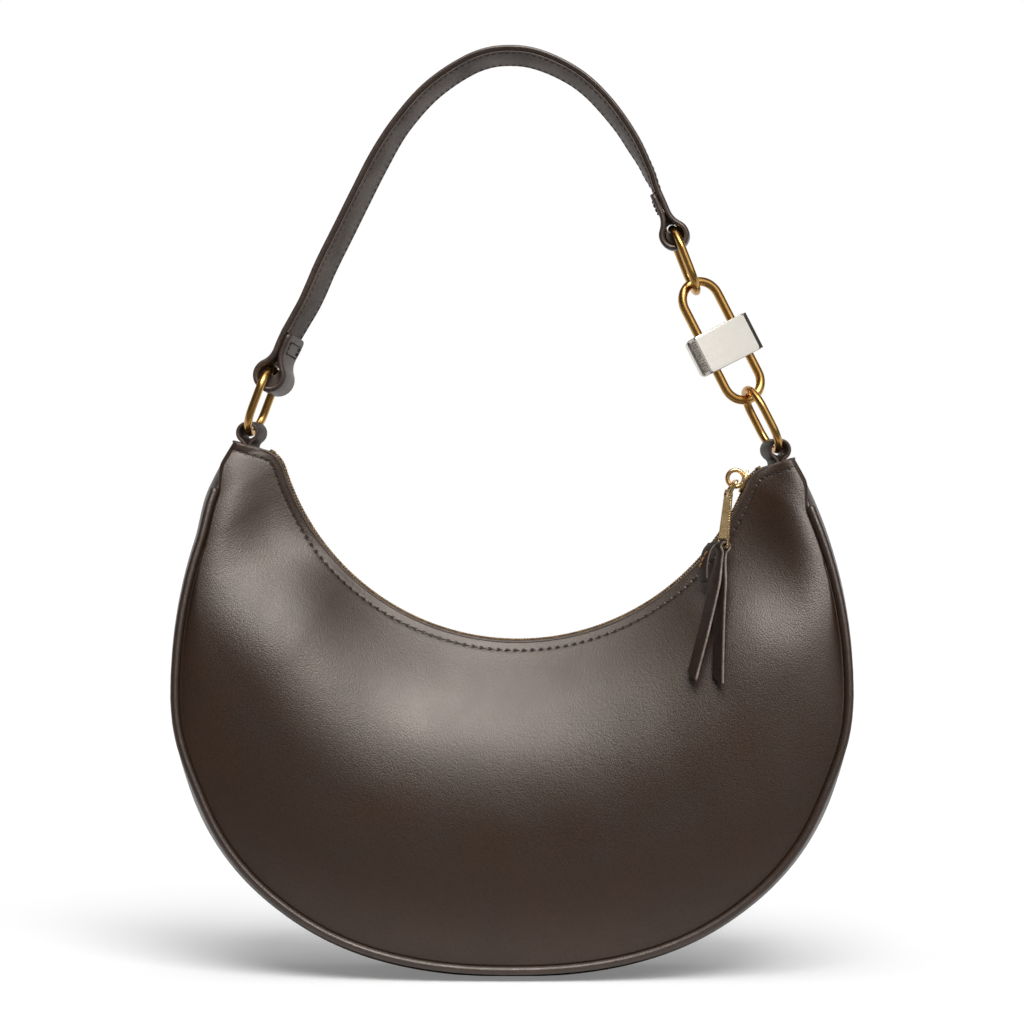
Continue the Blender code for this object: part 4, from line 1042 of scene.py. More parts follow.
def zipLine(rise):  # the zip's middle line, above the lip by rise
    s = np.linspace(leftTop + zipShape["ends"] - 0.0030,
                    lip.length - rightTop - zipShape["ends"] + 0.0030, 500)
    heading = lip.heading(s, 0.0012)
    return Route(lip.at(s) + leftOf(heading) * rise)


def zipMatrix(place, heading):
    return axesMatrix(place, inSpace(heading), (0, 1, 0), np.cross(inSpace(heading), (0, 1, 0)))


def makeTeeth(name, side, node):
    route = zipLine(zipShape["teethProud"])
    pitch = zipShape["toothPitch"]
    count = int(route.length / pitch)
    parts = []
    for n in range(count):
        s = (n + (0.5 if side > 0 else 0.0) + 0.25) * pitch
        p, heading = route.at(s), route.heading(s, 0.0006)
        up = leftOf(heading)
        middle = inSpace(p - up * zipShape["teethHeight"] / 2, side * zipShape["toothAside"])
        size = (pitch * zipShape["toothShare"], zipShape["toothLength"], zipShape["teethHeight"])
        parts.append(boxMesh(size, zipShape["toothEdge"], zipMatrix(middle, heading), 1))
    verts, faces = joined(parts)
    return makePiece(name, verts, faces, zipTeethMetal, "bag", node=node)


def makeTape(name, side, node):
    route = zipLine(-zipShape["tapeDrop"])
    s = np.linspace(0, route.length, 300)
    flat, up = route.at(s), leftOf(route.heading(s, 0.001))
    lines = []
    for t in np.linspace(0, 1, 9):
        y = side * mix(zipShape["tapeInner"], zipShape["tapeOuter"], t)
        rise = 0.0005 * math.exp(-(t / 0.22) ** 2) - 0.0004 * t
        lines.append(inSpace(flat + up * rise, y))
    grid = np.stack(lines, 1)
    down = -inSpace(up)[:, None, :] * np.ones((1, len(lines), 1))
    verts, faces = shell(grid, down, zipShape["tapeWall"], 3)
    return makePiece(name, verts, faces, zipTape, "bag", node=node)


for word, side in (("front", -1), ("back", 1)):
    makeTeeth(word + "ZipTeeth", side, "zip_teeth_" + word)
    makeTape(word + "ZipTape", side, "zip_tape_" + word)


stopShape = {"fromEnd": 0.0013, "clamp": (0.0024, 0.0054, 0.0007), "leg": (0.0022, 0.0006, 0.0022),
             "legPlace": 0.0026, "legDrop": 0.0008, "rise": 0.0003}


def makeStop(name, atEnd, node):
    v = stopShape
    route = zipLine(zipShape["teethProud"] - v["rise"])
    s = route.length - v["fromEnd"] if atEnd else v["fromEnd"]
    p, heading = route.at(s), route.heading(s)
    up = leftOf(heading)
    parts = [boxMesh(v["clamp"], 0.00025, zipMatrix(inSpace(p + up * v["rise"]), heading))]
    for side in (-1, 1):  # two legs hold it to the tapes
        place = inSpace(p - up * v["legDrop"], side * v["legPlace"])
        parts.append(boxMesh(v["leg"], 0.0002, zipMatrix(place, heading)))
    verts, faces = joined(parts)
    return makePiece(name, verts, faces, zipTeethMetal, "bag", node=node, sharp=50)


makeStop("leftZipStop", False, "zip_stop_left")
makeStop("rightZipStop", True, "zip_stop_right")

sliderShape = {
    "back": 0.00504, "length": 0.0105, "width": 0.0070, "plate": 0.0010, "web": 0.0008, "webLength": 0.0045,
    "eyeHole": 0.00265, "eyeWire": 0.0010, "foot": (0.0058, 0.0019, 0.0009), "curlShare": 0.68,
    "curlWall": 0.0006, "curlHeight": 0.0012,
}
sliderAngle = mouthEnd - sliderShape["back"] / mouthRadius
sliderOut = mouthPoint(sliderAngle, 1.0) - mouthCentre
topRadius = mouthRadius - 0.001 - 0.0003 - sliderShape["plate"] / 2
baseRadius = mouthRadius - 0.001 + 0.0022 + 0.0003 + sliderShape["plate"] / 2
eyeRadius = sliderShape["eyeHole"] + sliderShape["eyeWire"]
eyeCentre = mouthCentre + sliderOut * (topRadius - eyeRadius)


def shieldLoop(length, width):  # a slider plate seen from above, narrower at one end
    half, wide = length / 2, width / 2
    return [(half, wide * 0.55), (half * 0.7, wide * 0.82), (half * 0.25, wide), (-half * 0.55, wide),
            (-half * 0.9, wide * 0.86), (-half, wide * 0.55),
            (-half, -wide * 0.55), (-half * 0.9, -wide * 0.86), (-half * 0.55, -wide), (half * 0.25, -wide),
            (half * 0.7, -wide * 0.82), (half, -wide * 0.55)]


def makeSlider():
    v = sliderShape
    outward = inSpace(sliderOut)
    up = -outward
    side = np.array([0, 1.0, 0])
    forward = np.cross(side, up)
    parts = []
    for radius in (topRadius, baseRadius):
        matrix = axesMatrix(inSpace(mouthCentre) + outward * radius, forward, side, up)
        loop = shieldLoop(v["length"], v["width"])
        parts.append(plateMesh([loop], v["plate"], 0.0003, matrix))
    for sign in (-1, 1):  # the sides of the top plate curl down over the teeth
        edge = inSpace(mouthCentre, sign * (v["width"] / 2 - 0.0003))
        matrix = axesMatrix(edge + outward * (topRadius + 0.0007), forward, side, up)
        curl = v["length"] * v["curlShare"], v["curlWall"], v["curlHeight"]
        parts.append(boxMesh(curl, 0.00025, matrix))
    middle = axesMatrix(inSpace(mouthCentre) + outward * ((topRadius + baseRadius) / 2), forward, side, up)
    web = v["webLength"], v["web"], baseRadius - topRadius
    parts.append(boxMesh(web, 0.0001, middle))
    turn = np.linspace(0, 2 * math.pi, 48, endpoint=False)
    ring = [inSpace(eyeCentre + eyeRadius * np.array([math.cos(t), math.sin(t)])) for t in turn]
    parts.append(tube(ring, v["eyeWire"], 14, closed=True))
    foot = axesMatrix(inSpace(mouthCentre) + outward * (topRadius - 0.0006), forward, side, up)
    parts.append(boxMesh(v["foot"], 0.0003, foot))
    verts, faces = joined(parts)
    return makePiece("zipSlider", verts, faces, zipMetal, "slider", node="zip_slider", sharp=50)


makeSlider()

pullShape = {
    "wire": 0.00075, "drop": 0.0069, "corner": 0.0016, "bailAngle": -120.0, "standoff": 0.0056,
    "width": 0.0070, "length": 0.0235, "thickness": 0.0012, "lean": -6.0, "topShare": 0.66, "yaw": 36.0,
    "rim": 0.0012, "slotLength": 0.0052, "slotHeight": 0.0027, "slotRim": 0.0015,
}
bailDown = np.array([math.cos(math.radians(pullShape["bailAngle"])),
                     math.sin(math.radians(pullShape["bailAngle"]))])
bailTop = sliderShape["eyeHole"] - 0.0003 - pullShape["wire"]
barCentre = eyeCentre + bailDown * (bailTop + pullShape["drop"])
pullNear = -(bagShape["mouthHalfDepth"] + pullShape["standoff"])
pullMiddle = pullNear - pullShape["width"] / 2
pullDown = -lean(pullShape["lean"])
rimCentre = barCentre + pullDown * (pullShape["length"] - pullShape["slotRim"] / 2)
pullYaw = math.radians(pullShape["yaw"])


def makeBail():
    front = pullMiddle - pullShape["width"] / 2 - 0.0015
    back = sliderShape["eyeWire"] + 0.0003 + pullShape["wire"]
    loop = roundedLoop(front, back, bailTop, bailTop + pullShape["drop"], pullShape["corner"], 8)
    places = [inSpace(eyeCentre + bailDown * b, a) for a, b in loop]
    route = Route(np.array(places + [places[0]]))
    verts, faces = tube(route.evenly(121)[:-1], pullShape["wire"], 14, closed=True)
    return makePiece("zipBail", verts, faces, zipMetal, "bail", node="zip_bail")


def makePull():
    up = inSpace(-pullDown)
    level = np.cross(np.array([0, 1.0, 0]), up)
    side = np.array([0, math.cos(pullYaw), 0]) - level * math.sin(pullYaw)
    bar = pullShape["wire"] + 0.0003
    slot = bar / math.sin(pullYaw) + pullShape["thickness"] / math.tan(pullYaw) / 2
    head = bar + pullShape["rim"]
    low, high = -(pullShape["length"]), head
    half = pullShape["width"] / 2
    edge = [(a * mix(1.0, pullShape["topShare"], (b - low) / (high - low)), b)
            for a, b in roundedLoop(-half, half, low, high, 0.0011, 5)]
    bailSlot = roundedLoop(-slot, slot, -bar, bar, bar * 0.7, 4)
    foot = low + pullShape["slotRim"]
    tasselSlot = roundedLoop(-pullShape["slotLength"] / 2, pullShape["slotLength"] / 2, foot,
                             foot + pullShape["slotHeight"], 0.0005, 4)
    matrix = axesMatrix(inSpace(barCentre, pullMiddle), side, up, np.cross(side, up))
    verts, faces = plateMesh([edge, bailSlot[::-1], tasselSlot[::-1]], pullShape["thickness"], 0.00028,
                             matrix, 2)
    return makePiece("zipPull", verts, faces, zipMetalHatched, "pull", node="zip_pull", sharp=40)


makeBail()
makePull()
print("zip made")


# folded strips

def foldPath(hole, thickness, fillet, firstLeg, lastLeg, steps=22):
    # the outer face of a strip that comes down a leg, goes round under a ring and runs up again
    outer, leg = hole + thickness, 0.00015 + thickness
    neck = math.sqrt((outer + fillet) ** 2 - (leg + fillet) ** 2)
    meet = math.atan2(neck, leg + fillet)
    half = [(-leg, neck + (firstLeg - neck) * t)
            for t in np.linspace(1, 0, 10)[:-1]] if firstLeg > neck else []
    half += [(-leg - fillet + fillet * math.cos(a), neck + fillet * math.sin(a))
             for a in np.linspace(0, -meet, steps // 2)[:-1]]
    middle = [(outer * math.cos(a), outer * math.sin(a))
              for a in np.linspace(math.pi - meet, 2 * math.pi + meet, 2 * steps)]
    after = [(leg + fillet - fillet * math.cos(a), neck + fillet * math.sin(a))
             for a in np.linspace(-meet, 0, steps // 2)[1:]]
    if lastLeg > neck:
        after += [(leg, neck + (lastLeg - neck) * (1 - (1 - t) ** 2)) for t in np.linspace(0, 1, 12)[1:]]
    return np.array(half + middle + after), neck, leg


def placed(points, origin, u, v):
    return origin + points[:, :1] * u + points[:, 1:] * v


tasselShape = {
    "thickness": 0.0011, "fillet": 0.0030, "neck": 0.0036, "width": 0.0068, "flare": 0.014, "length": 0.059,
    "spread": 0.0052, "spreadPower": 1.4, "lean": -8.9, "forward": 0.0180, "slant": 0.0040,
    "tongueHalf": 0.0021, "tongueBack": 0.0012, "bead": 0.00026, "beadInset": 0.00008,
    "stitchCount": 12, "stitchRun": (0.24, 0.66), "pitch": 0.0024, "stitchLength": 0.0022, "thread": 0.00048,
    "tongue": ((0.0020, -0.0040), (0.0042, -0.0004), (0.0060, 0.0030), (0.0066, 0.0080), (0.0063, 0.0130),
               (0.0056, 0.0165), (0.0048, 0.0200)),
}


def slantEnds(verts, rows, centre, across, slant, fade):
    # cuts both ends at a slant: the back edge is shorter than the front edge
    verts = verts.reshape(rows, -1, 3)
    route = Route(centre)
    for along, tip, root in ((route.along, centre[0], centre[3]),
                             (route.length - route.along, centre[-1], centre[-4])):
        way = unit(tip - root)
        pull = slant * np.clip(1 - along / fade, 0, 1)
        verts -= pull[:, None, None] * across[..., None] * way
    return verts.reshape(-1, 3)


def makeTassel():
    v = tasselShape
    turned = math.cos(pullYaw)
    hole = math.hypot(pullShape["thickness"] / turned, pullShape["slotRim"]) / 2 + 0.0003 / turned
    fold, neck, leg = foldPath(hole, v["thickness"], v["fillet"], 0.0, 0.0)
    share = np.linspace(0, 1, 40)[1:]
    tail = np.stack([leg + v["spread"] * share ** v["spreadPower"], mix(neck, v["length"], share)], 1)
    left = tail[::-1] * np.array([-1, 1])
    local = np.concatenate([left, fold, tail])[::-1]
    down = -lean(v["lean"])
    u = rightOf(down)
    path = placed(local, rimCentre, u, down)
    drops = local[:, 1]
    middle = pullMiddle - v["forward"] * np.maximum(drops, 0) / v["length"]
    half = mix(v["neck"] / 2, v["width"] / 2, ease((drops - neck) / v["flare"])) * turned
    shift = np.array([-math.tan(pullYaw), 0.0])
    centre = inSpace(path, middle)

    def strip(sections):
        verts, faces = ribbon(path, sections, shift, middle)
        across = np.array([[(a + half[i]) / (2 * half[i]) for _, a in sections(i)] for i in range(len(path))])
        return slantEnds(verts, len(path), centre, across, v["slant"], 0.013), faces

    verts, faces = strip(lambda i: roundedSection(0.0, v["thickness"], half[i], 0.0004, 2))
    makePiece("tasselStrip", verts, faces, tasselLeather, "tassel", node="tassel_strip",
              sharp=60)

    # the edges: real edge paint, coloured lighter as a painted highlight line along each side
    verts, faces = edgeBeads(strip, half, v["thickness"], v["bead"], v["beadInset"])
    makePiece("tasselEdgeHighlights", verts, faces, tasselEdgeHighlight, "tassel")

    # the short tongue behind the straps, with its row of thick thread
    spots = smoothCurve([np.array(p) for p in v["tongue"]], 8)
    tongue = placed(spots, rimCentre, u, down)
    rear = pullMiddle + v["tongueBack"] - v["forward"] * np.maximum(spots[:, 1], 0) / v["length"]
    run = Route(tongue)
    toEnd = np.clip((run.length - run.along) / 0.0022, 0.02, 1)
    wide = v["tongueHalf"] * np.sqrt(1 - (1 - toEnd) ** 2)
    verts, faces = ribbon(tongue, lambda i: roundedSection(0.0, v["thickness"], wide[i], 0.0004, 2), shift,
                          rear)
    makePiece("tasselTongue", verts, faces, tasselLeather, "tassel", sharp=60)
    line, ways = [], []
    face = inSpace(rightOf(unit(np.gradient(tongue, axis=0))))
    for t in np.linspace(0, 1, v["stitchCount"]):
        s = mix(*v["stitchRun"], t) * run.length
        across = mix(-0.6, 0.6, t) * v["tongueHalf"]
        k = int(np.searchsorted(run.along, s))
        spot = inSpace(run.at(s) + shift * across, np.interp(s, run.along, rear) + across)
        way = unit(face[k] + np.array([0, -0.35, 0]))
        line.append(spot + face[k] * (v["thickness"] + 0.0001))
        ways.append(way)
    verts, faces = stitches(line, ways, v["pitch"], v["stitchLength"], v["thread"], lift=0.6, sides=8)
    makePiece("tasselStitches", verts, faces, tasselThread, "tassel", node="tassel_stitches")


makeTassel()
print("tassel made")


# rings, link and lock

chainShape = {
    "ringRadius": 0.0102, "ringStraight": 0.0090, "ringWire": 0.0018, "seat": 0.0002, "turn": 12.0,
    "upperTurn": 2.0, "leftLean": -20.5, "lowerLean": 27.0, "upperLean": 21.4, "linkLean": 27.1,
    "linkYaw": 21.5, "linkRadius": 0.0089, "linkStraight": 0.0392, "linkWire": 0.0020, "tabRise": 0.0037,
}
leftTab = np.array([hornCorners[0][0] + 0.003984, hornHeights[0] + chainShape["tabRise"]])
rightTab = np.array([hornCorners[1][0] - 0.007046, hornHeights[1] + chainShape["tabRise"]])
leftUp, lowerUp = lean(chainShape["leftLean"]), lean(chainShape["lowerLean"])
upperUp, linkUp = lean(chainShape["upperLean"]), lean(chainShape["linkLean"])
crossing = chainShape["linkWire"] + chainShape["ringWire"] + 0.0003
leftPivot = leftTab + leftUp * (chainShape["seat"] + chainShape["ringRadius"])
strapPivot = leftPivot + leftUp * chainShape["ringStraight"]
rightPivot = rightTab + lowerUp * (chainShape["seat"] + chainShape["ringRadius"])
linkBottom = rightPivot + lowerUp * (chainShape["ringStraight"]
                                     + chainShape["ringRadius"]) - linkUp * crossing
linkTop = linkBottom + linkUp * (chainShape["linkStraight"] + 2 * chainShape["linkRadius"])
upperLow = linkTop - linkUp * crossing + upperUp * chainShape["ringRadius"]
upperPivot = upperLow + upperUp * chainShape["ringStraight"]


def pill(radius, straight, steps=22):
    low = [(radius * math.cos(a), radius * math.sin(a)) for a in np.linspace(math.pi, 2 * math.pi, steps)]
    high = [(radius * math.cos(a), straight + radius * math.sin(a)) for a in np.linspace(0, math.pi, steps)]
    return Route(np.array(low + high + [low[0]]))


def makeRing(name, low, up, inward, turnDegrees, node, seam):
    turn = math.radians(turnDegrees)
    across = inSpace(inward) * math.sin(turn) + np.array([0, math.cos(turn), 0])
    oval = pill(chainShape["ringRadius"], chainShape["ringStraight"])
    spots = oval.evenly(121)[:-1]
    places = inSpace(low) + spots[:, :1] * across + spots[:, 1:] * inSpace(up)
    s = np.linspace(0, oval.length, 121)[:-1]
    seamDip = 0.00022 * np.exp(-((s - seam * oval.length) / 0.00035) ** 2)
    verts, faces = tube(places, chainShape["ringWire"] - seamDip, 22, closed=True)
    return makePiece(name, verts, faces, chainBrass, node, node=node)


makeRing("leftRing", leftPivot, leftUp, rightOf(leftUp), chainShape["turn"], "left_ring", 0.62)
makeRing("lowerRing", rightPivot, lowerUp, leftOf(lowerUp), chainShape["turn"], "lower_ring", 0.62)
makeRing("upperRing", upperLow, upperUp, leftOf(upperUp), chainShape["upperTurn"], "upper_ring", 0.58)

linkYaw = math.radians(chainShape["linkYaw"])
linkAcross = inSpace(rightOf(linkUp)) * math.cos(linkYaw) + np.array([0, math.sin(linkYaw), 0])
linkAlong = inSpace(linkUp)
linkBack = np.cross(linkAlong, linkAcross)


def makeLink():
    low = inSpace(linkBottom + linkUp * chainShape["linkRadius"])
    oval = pill(chainShape["linkRadius"], chainShape["linkStraight"], 26)
    spots = oval.evenly(161)[:-1]
    places = low + spots[:, :1] * linkAcross + spots[:, 1:] * linkAlong
    verts, faces = tube(places, chainShape["linkWire"], 22, closed=True)
    return makePiece("chainLink", verts, faces, chainBrass, "link", node="chain_link")


makeLink()

lockShape = {
    "width": 0.0284, "length": 0.0176, "front": 0.0046, "back": 0.0026, "frontPlate": 0.0010,
    "backPlate": 0.0036, "plateWidth": 0.0264, "plateShift": -0.0007, "slabWidth": 0.0286,
    "knurl": 0.00125, "knurlDepth": 0.00050, "drop": 0.0022,
}
lockCentre = inSpace((linkBottom + linkTop) / 2 - linkUp * lockShape["drop"])


def lockMatrix(sideways, depth):
    return axesMatrix(lockCentre + linkAcross * sideways + linkBack * depth, linkAcross, linkBack, linkAlong)


def makeLockBody():
    v = lockShape
    depth = v["front"] + v["back"]
    middle = (v["back"] - v["front"]) / 2
    parts = []
    # the core, with knurled sides: rows of small pyramids on both sides
    core = roundedLoop(-v["width"] / 2 + v["knurlDepth"], v["width"] / 2 - v["knurlDepth"], -depth / 2,
                       depth / 2, 0.0011, 5)
    matrix = lockMatrix(0, middle)
    bore = chainShape["linkWire"] + 0.0003
    holes = []
    for sign in (-1, 1):
        ring = [(sign * chainShape["linkRadius"] + bore * math.cos(t), -middle + bore * math.sin(t))
                for t in np.linspace(0, 2 * math.pi, 28, endpoint=False)]
        holes.append(ring)
    parts.append(plateMesh([core] + holes, v["length"], 0.0005, matrix, 2))
    rows = int((v["length"] - 0.0014) / v["knurl"])
    cols = int((depth - 0.0010) / v["knurl"])
    for sign in (-1, 1):
        for i in range(rows):
            for j in range(cols):
                a = (i - (rows - 1) / 2) * v["knurl"]
                b = middle + (j - (cols - 1) / 2) * v["knurl"]
                base = lockCentre + linkAcross * sign * (v["width"] / 2 - v["knurlDepth"] - 0.00004)
                w = v["knurl"] * 0.49
                spots = [base + linkAlong * (a + s1 * w) + linkBack * (b + s2 * w)
                         for s1, s2 in ((-1, -1), (1, -1), (1, 1), (-1, 1))]
                tip = base + linkAlong * a + linkBack * b + linkAcross * sign * (v["knurlDepth"] + 0.00004)
                ring = [mix(p, tip, 0.66) for p in spots]
                faces = [(k, (k + 1) % 4, 4 + (k + 1) % 4, 4 + k)
                         for k in range(4)] + [(4, 5, 6, 7), (3, 2, 1, 0)]
                parts.append((np.array(spots + ring), faces))
    side = v["plateShift"] + v["plateWidth"] / 2 + 0.00015
    wedge = [(side, -v["front"] + 0.0001), (side, -v["front"] - 0.0010),
             (v["width"] / 2 + 0.0003, -v["front"] + 0.0001),
             (v["width"] / 2 + 0.0003, -v["front"] + 0.0016), (side - 0.003, -v["front"] + 0.0016)]
    parts.append(plateMesh([wedge], v["length"] - 0.0004, 0.00015, lockMatrix(0, 0), 1))
    verts, faces = joined(parts)
    return makePiece("lockBody", verts, faces, lockBodyMetal, "lock", node="lock_body",
                     sharp=25)


def makeLockPlate(name, sideways, depth, thickness, width, corner, bevel, node):
    v = lockShape
    matrix = axesMatrix(lockMatrix(sideways, depth).translation, linkAcross, linkAlong, -linkBack)
    half, tall = width / 2, v["length"] / 2
    loop = roundedLoop(-half, half, -tall, tall, corner, 7)
    verts, faces = plateMesh([loop], thickness, bevel, matrix, 3)
    return makePiece(name, verts, faces, lockPlateMetal, "lock", node=node, sharp=35)


makeLockBody()
makeLockPlate("lockFrontPlate", lockShape["plateShift"],
              -(lockShape["front"] + 0.0002 + lockShape["frontPlate"] / 2), lockShape["frontPlate"],
              lockShape["plateWidth"], 0.0016, 0.00030, "lock_front_plate")
makeLockPlate("lockBackPlate", 0.0, lockShape["back"] + 0.0002 + lockShape["backPlate"] / 2,
              lockShape["backPlate"], lockShape["slabWidth"], 0.0022, 0.00100, "lock_back_plate")
print("chain and lock made")


# tabs on the horns

tabShape = {"hole": 0.0035, "thickness": 0.0015, "width": 0.0086, "fillet": 0.0030, "stem": 0.0170,
            "turn": 21.0, "slide": 0.0008, "bead": 0.0003, "beadInset": 0.00008}


def makeNeckPad(name, origin, across, up, v, wireAt, width, look, body):
    # leather packed between the legs of a fold, up to the ring's wire
    outer, leg = v["hole"] + v["thickness"], 0.00015 + v["thickness"]
    neck = math.sqrt((outer + v["fillet"]) ** 2 - (leg + v["fillet"]) ** 2)
    reach = v["fillet"] + v["thickness"] + 0.0001
    clear = chainShape["ringWire"] + 0.0006
    foot = math.degrees(math.asin(min((neck - wireAt - clear * 0.6) / reach, 0.99)))
    loop = arcSpots((-leg - v["fillet"], neck), reach, 0, -foot, 10)
    other = [(-a, b) for a, b in loop[::-1]]
    loop += arcSpots((0, wireAt), clear, 142, 38, 9) + other
    verts, faces = plateMesh([loop], width, 0.0002, planeMatrix(origin, across, up), 1)
    return makePiece(name, verts, faces, look, body, sharp=50)


def makeTab(name, centre, side, node):
    v = tabShape
    path, neck, leg = foldPath(v["hole"], v["thickness"], v["fillet"], v["stem"], v["stem"])
    down = np.array([0, -1.0])
    path = placed(path[::-1], centre + np.array([side * v["slide"], 0]), rightOf(down), down)
    shift = np.array([side * math.tan(math.radians(v["turn"])), 0])
    verts, faces = ribbon(path, roundedSection(0.0, v["thickness"], v["width"] / 2, 0.0005, 3), shift)
    makePiece(name, verts, faces, tabLeather, "bag", node=node, sharp=60)
    half = np.full(len(path), v["width"] / 2)
    verts, faces = edgeBeads(lambda sections: ribbon(path, sections, shift), half, v["thickness"],
                             v["bead"], v["beadInset"])
    makePiece(name + "Edges", verts, faces, edgePaint, "bag")
    makeNeckPad(name + "Pad", centre, rightOf(down), down, v, 0.0, 0.0032, tabLeather, "bag")


makeTab("leftTab", leftTab, 1, "left_tab")
makeTab("rightTab", rightTab, -1, "right_tab")


# strap

strapShape = {
    "width": 0.0154, "thickness": 0.0025, "hole": 0.0048, "fillet": 0.010, "seat": 0.0072, "tail": 0.0195,
    "leg": 0.0205, "rise": 0.1000, "foldShift": 0.0014, "lining": 0.0006, "liningWidth": 0.0144,
    "leftLean": -25.0, "rightLean": 24.0, "foldTurn": 14.0, "freeTail": 0.0204, "tailCorner": 0.0022,
    "rightHole": 0.0042,
    "bead": 0.00116, "beadInset": 0.00096, "beadGap": 0.00010,
    "tackWidth": 0.0100, "tackLength": 0.0054, "tackPlace": 0.0118, "stitchInset": 0.0016, "pitch": 0.0029,
    "stitchLength": 0.0020, "thread": 0.00022, "tackPitch": 0.0021, "tackStitch": 0.0017,
    "tackThread": 0.00030,
}
archShares = ((0.144, 0.253), (0.206, 0.378), (0.273, 0.501), (0.339, 0.623), (0.407, 0.745),
              (0.482, 0.859), (0.580, 0.960), (0.690, 1.010), (0.769, 0.992), (0.841, 0.921),
              (0.914, 0.774), (0.961, 0.580), (0.986, 0.382))
strapTurns = ((0.0, 21.0), (0.10, 23.4), (0.32, 23.0), (0.42, 19.3), (0.65, 16.8), (0.82, 14.6),
              (0.90, 12.0), (0.96, 5.0), (1.0, -3.0))
strapTotal = strapShape["thickness"] + 0.0003 + strapShape["lining"]


def makeStrap():
    v = strapShape
    leftLeg, rightLeg = lean(v["leftLean"]), lean(v["rightLean"])
    leftFold, rightFold = strapPivot + leftUp * v["seat"], upperPivot + upperUp * v["seat"]
    chord = rightFold - leftFold
    origin = leftFold
    leftFold = leftFold + rightOf(leftLeg) * v["foldShift"]
    rise = leftOf(unit(chord)) * v["rise"]
    sideways = v["thickness"] + 0.00015 - strapTotal / 2
    left = leftFold - rightOf(leftLeg) * sideways
    right = rightFold - leftOf(rightLeg) * sideways
    route = [left + leftLeg * v["tail"] / 2, left + leftLeg * v["leg"]]
    route += [origin + chord * a + rise * u for a, u in archShares]
    route += [right + rightLeg * v["leg"], right + rightLeg * v["tail"] / 2]
    middle = Route(smoothCurve(route, 12)).evenly(34)
    middle = Route(smoothCurve([2 * middle[0] - middle[1], *middle, 2 * middle[-1] - middle[-2]],
                               6)).evenly(150)
    normal = rightOf(unit(np.gradient(middle, axis=0)))
    outer = middle - normal * strapTotal / 2
    places = np.linspace(0, 1, len(middle))
    turns = np.zeros(len(middle))
    for (low, before), (high, after) in zip(strapTurns, strapTurns[1:]):
        inside = (places >= low) & (places <= high)
        turns[inside] = mix(before, after, ease((places[inside] - low) / (high - low)))
    shifts = normal * np.tan(np.radians(turns))[:, None]
    fold, _, _ = foldPath(v["hole"], v["thickness"], v["fillet"], v["tail"], v["freeTail"])
    rightFoldPath, _, _ = foldPath(v["rightHole"], v["thickness"], v["fillet"], v["tail"], v["freeTail"])
    twist = ease((fold[:, 1] - 0.002) / 0.014)
    rightTwist = ease((rightFoldPath[:, 1] - 0.002) / 0.014)
    leftPath = placed(fold[::-1], leftFold, rightOf(leftLeg), leftLeg)[:-1]
    rightPath = placed(rightFoldPath, rightFold, leftOf(rightLeg), rightLeg)[1:]
    path = np.concatenate([leftPath, outer, rightPath])
    leftTan = np.tan(np.radians(mix(v["foldTurn"], strapTurns[0][1], twist[::-1])))[:-1, None]
    rightTan = np.tan(np.radians(mix(-v["foldTurn"] * 0.35, strapTurns[-1][1], rightTwist)))[1:, None]
    shift = np.concatenate([normal[:1] * leftTan, shifts, normal[-1:] * rightTan])
    run = Route(path)
    fromEnd = np.minimum(run.along, run.length - run.along)
    corner = v["tailCorner"] - np.sqrt(
        np.maximum(v["tailCorner"] ** 2 - np.maximum(v["tailCorner"] - fromEnd, 0) ** 2, 0))
    half = v["width"] / 2 - corner
    verts, faces = ribbon(path, lambda i: roundedSection(0.0, v["thickness"], half[i], 0.0011, 5), shift)
    makePiece("strapBand", verts, faces, strapLeather, "strap", node="strap_outer", sharp=60)
    verts, faces = edgeBeads(lambda sections: ribbon(path, sections, shift), half, v["thickness"],
                             v["bead"], v["beadInset"], v["beadGap"], 5)
    makePiece("strapEdges", verts, faces, edgePaint, "strap")
    section = roundedSection(v["thickness"] + 0.0001, strapTotal, v["liningWidth"] / 2, 0.00028, 2)
    verts, faces = ribbon(outer, section, shifts)
    makePiece("strapLiningBand", verts, faces, strapLiningLeather, "strap",
              node="strap_lining", sharp=60)
    # rows of stitches along both edges, outside and inside
    for name, depth, way in (("strapOuterStitches", 0.0, -1), ("strapInnerStitches", strapTotal, 1)):
        parts = []
        for sign in (-1, 1):
            across = sign * (v["width"] / 2 - v["stitchInset"])
            flat = outer + normal * depth + shifts * across
            places3 = inSpace(flat, across)
            ways = inSpace(normal) * way
            parts.append(stitches(places3, ways, v["pitch"], v["stitchLength"], v["thread"], lift=0.05))
        verts, faces = joined(parts)
        makePiece(name, verts, faces, strapThread, "strap", turn=False)
    # the stitched boxes that close the two folds
    face = v["thickness"] + 0.00035
    ends = (("strapLeftTack", leftFold, rightOf(leftLeg), leftLeg, shifts[0], "strap_left_tack"),
            ("strapRightTack", rightFold, leftOf(rightLeg), rightLeg, shifts[-1], "strap_right_tack"))
    for name, origin, inward, up, turn, node in ends:
        loop = roundedLoop(-v["tackWidth"] / 2, v["tackWidth"] / 2, v["tackPlace"],
                           v["tackPlace"] + v["tackLength"], 0.0003, 2)
        places3 = np.array([inSpace(origin + inward * face + up * b + turn * a, a)
                            for a, b in loop + loop[:1]])
        ways = np.repeat(inSpace(inward)[None], len(places3), 0)
        verts, faces = stitches(places3, ways, v["tackPitch"], v["tackStitch"], v["tackThread"], lift=0.15)
        makePiece(name, verts, faces, strapThread, "strap", node=node, turn=False)


makeStrap()


def makePad(name, origin, across, up, outer, wireCentre, clear, low, high, width, look, body):
    # leather packed into a fold beside the ring's wire
    loop = arcSpots((0, 0), outer, low, high) + arcSpots(wireCentre, clear, high, low)
    verts, faces = plateMesh([loop], width, 0.0003, planeMatrix(origin, across, up), 2)
    return makePiece(name, verts, faces, look, body, sharp=50)


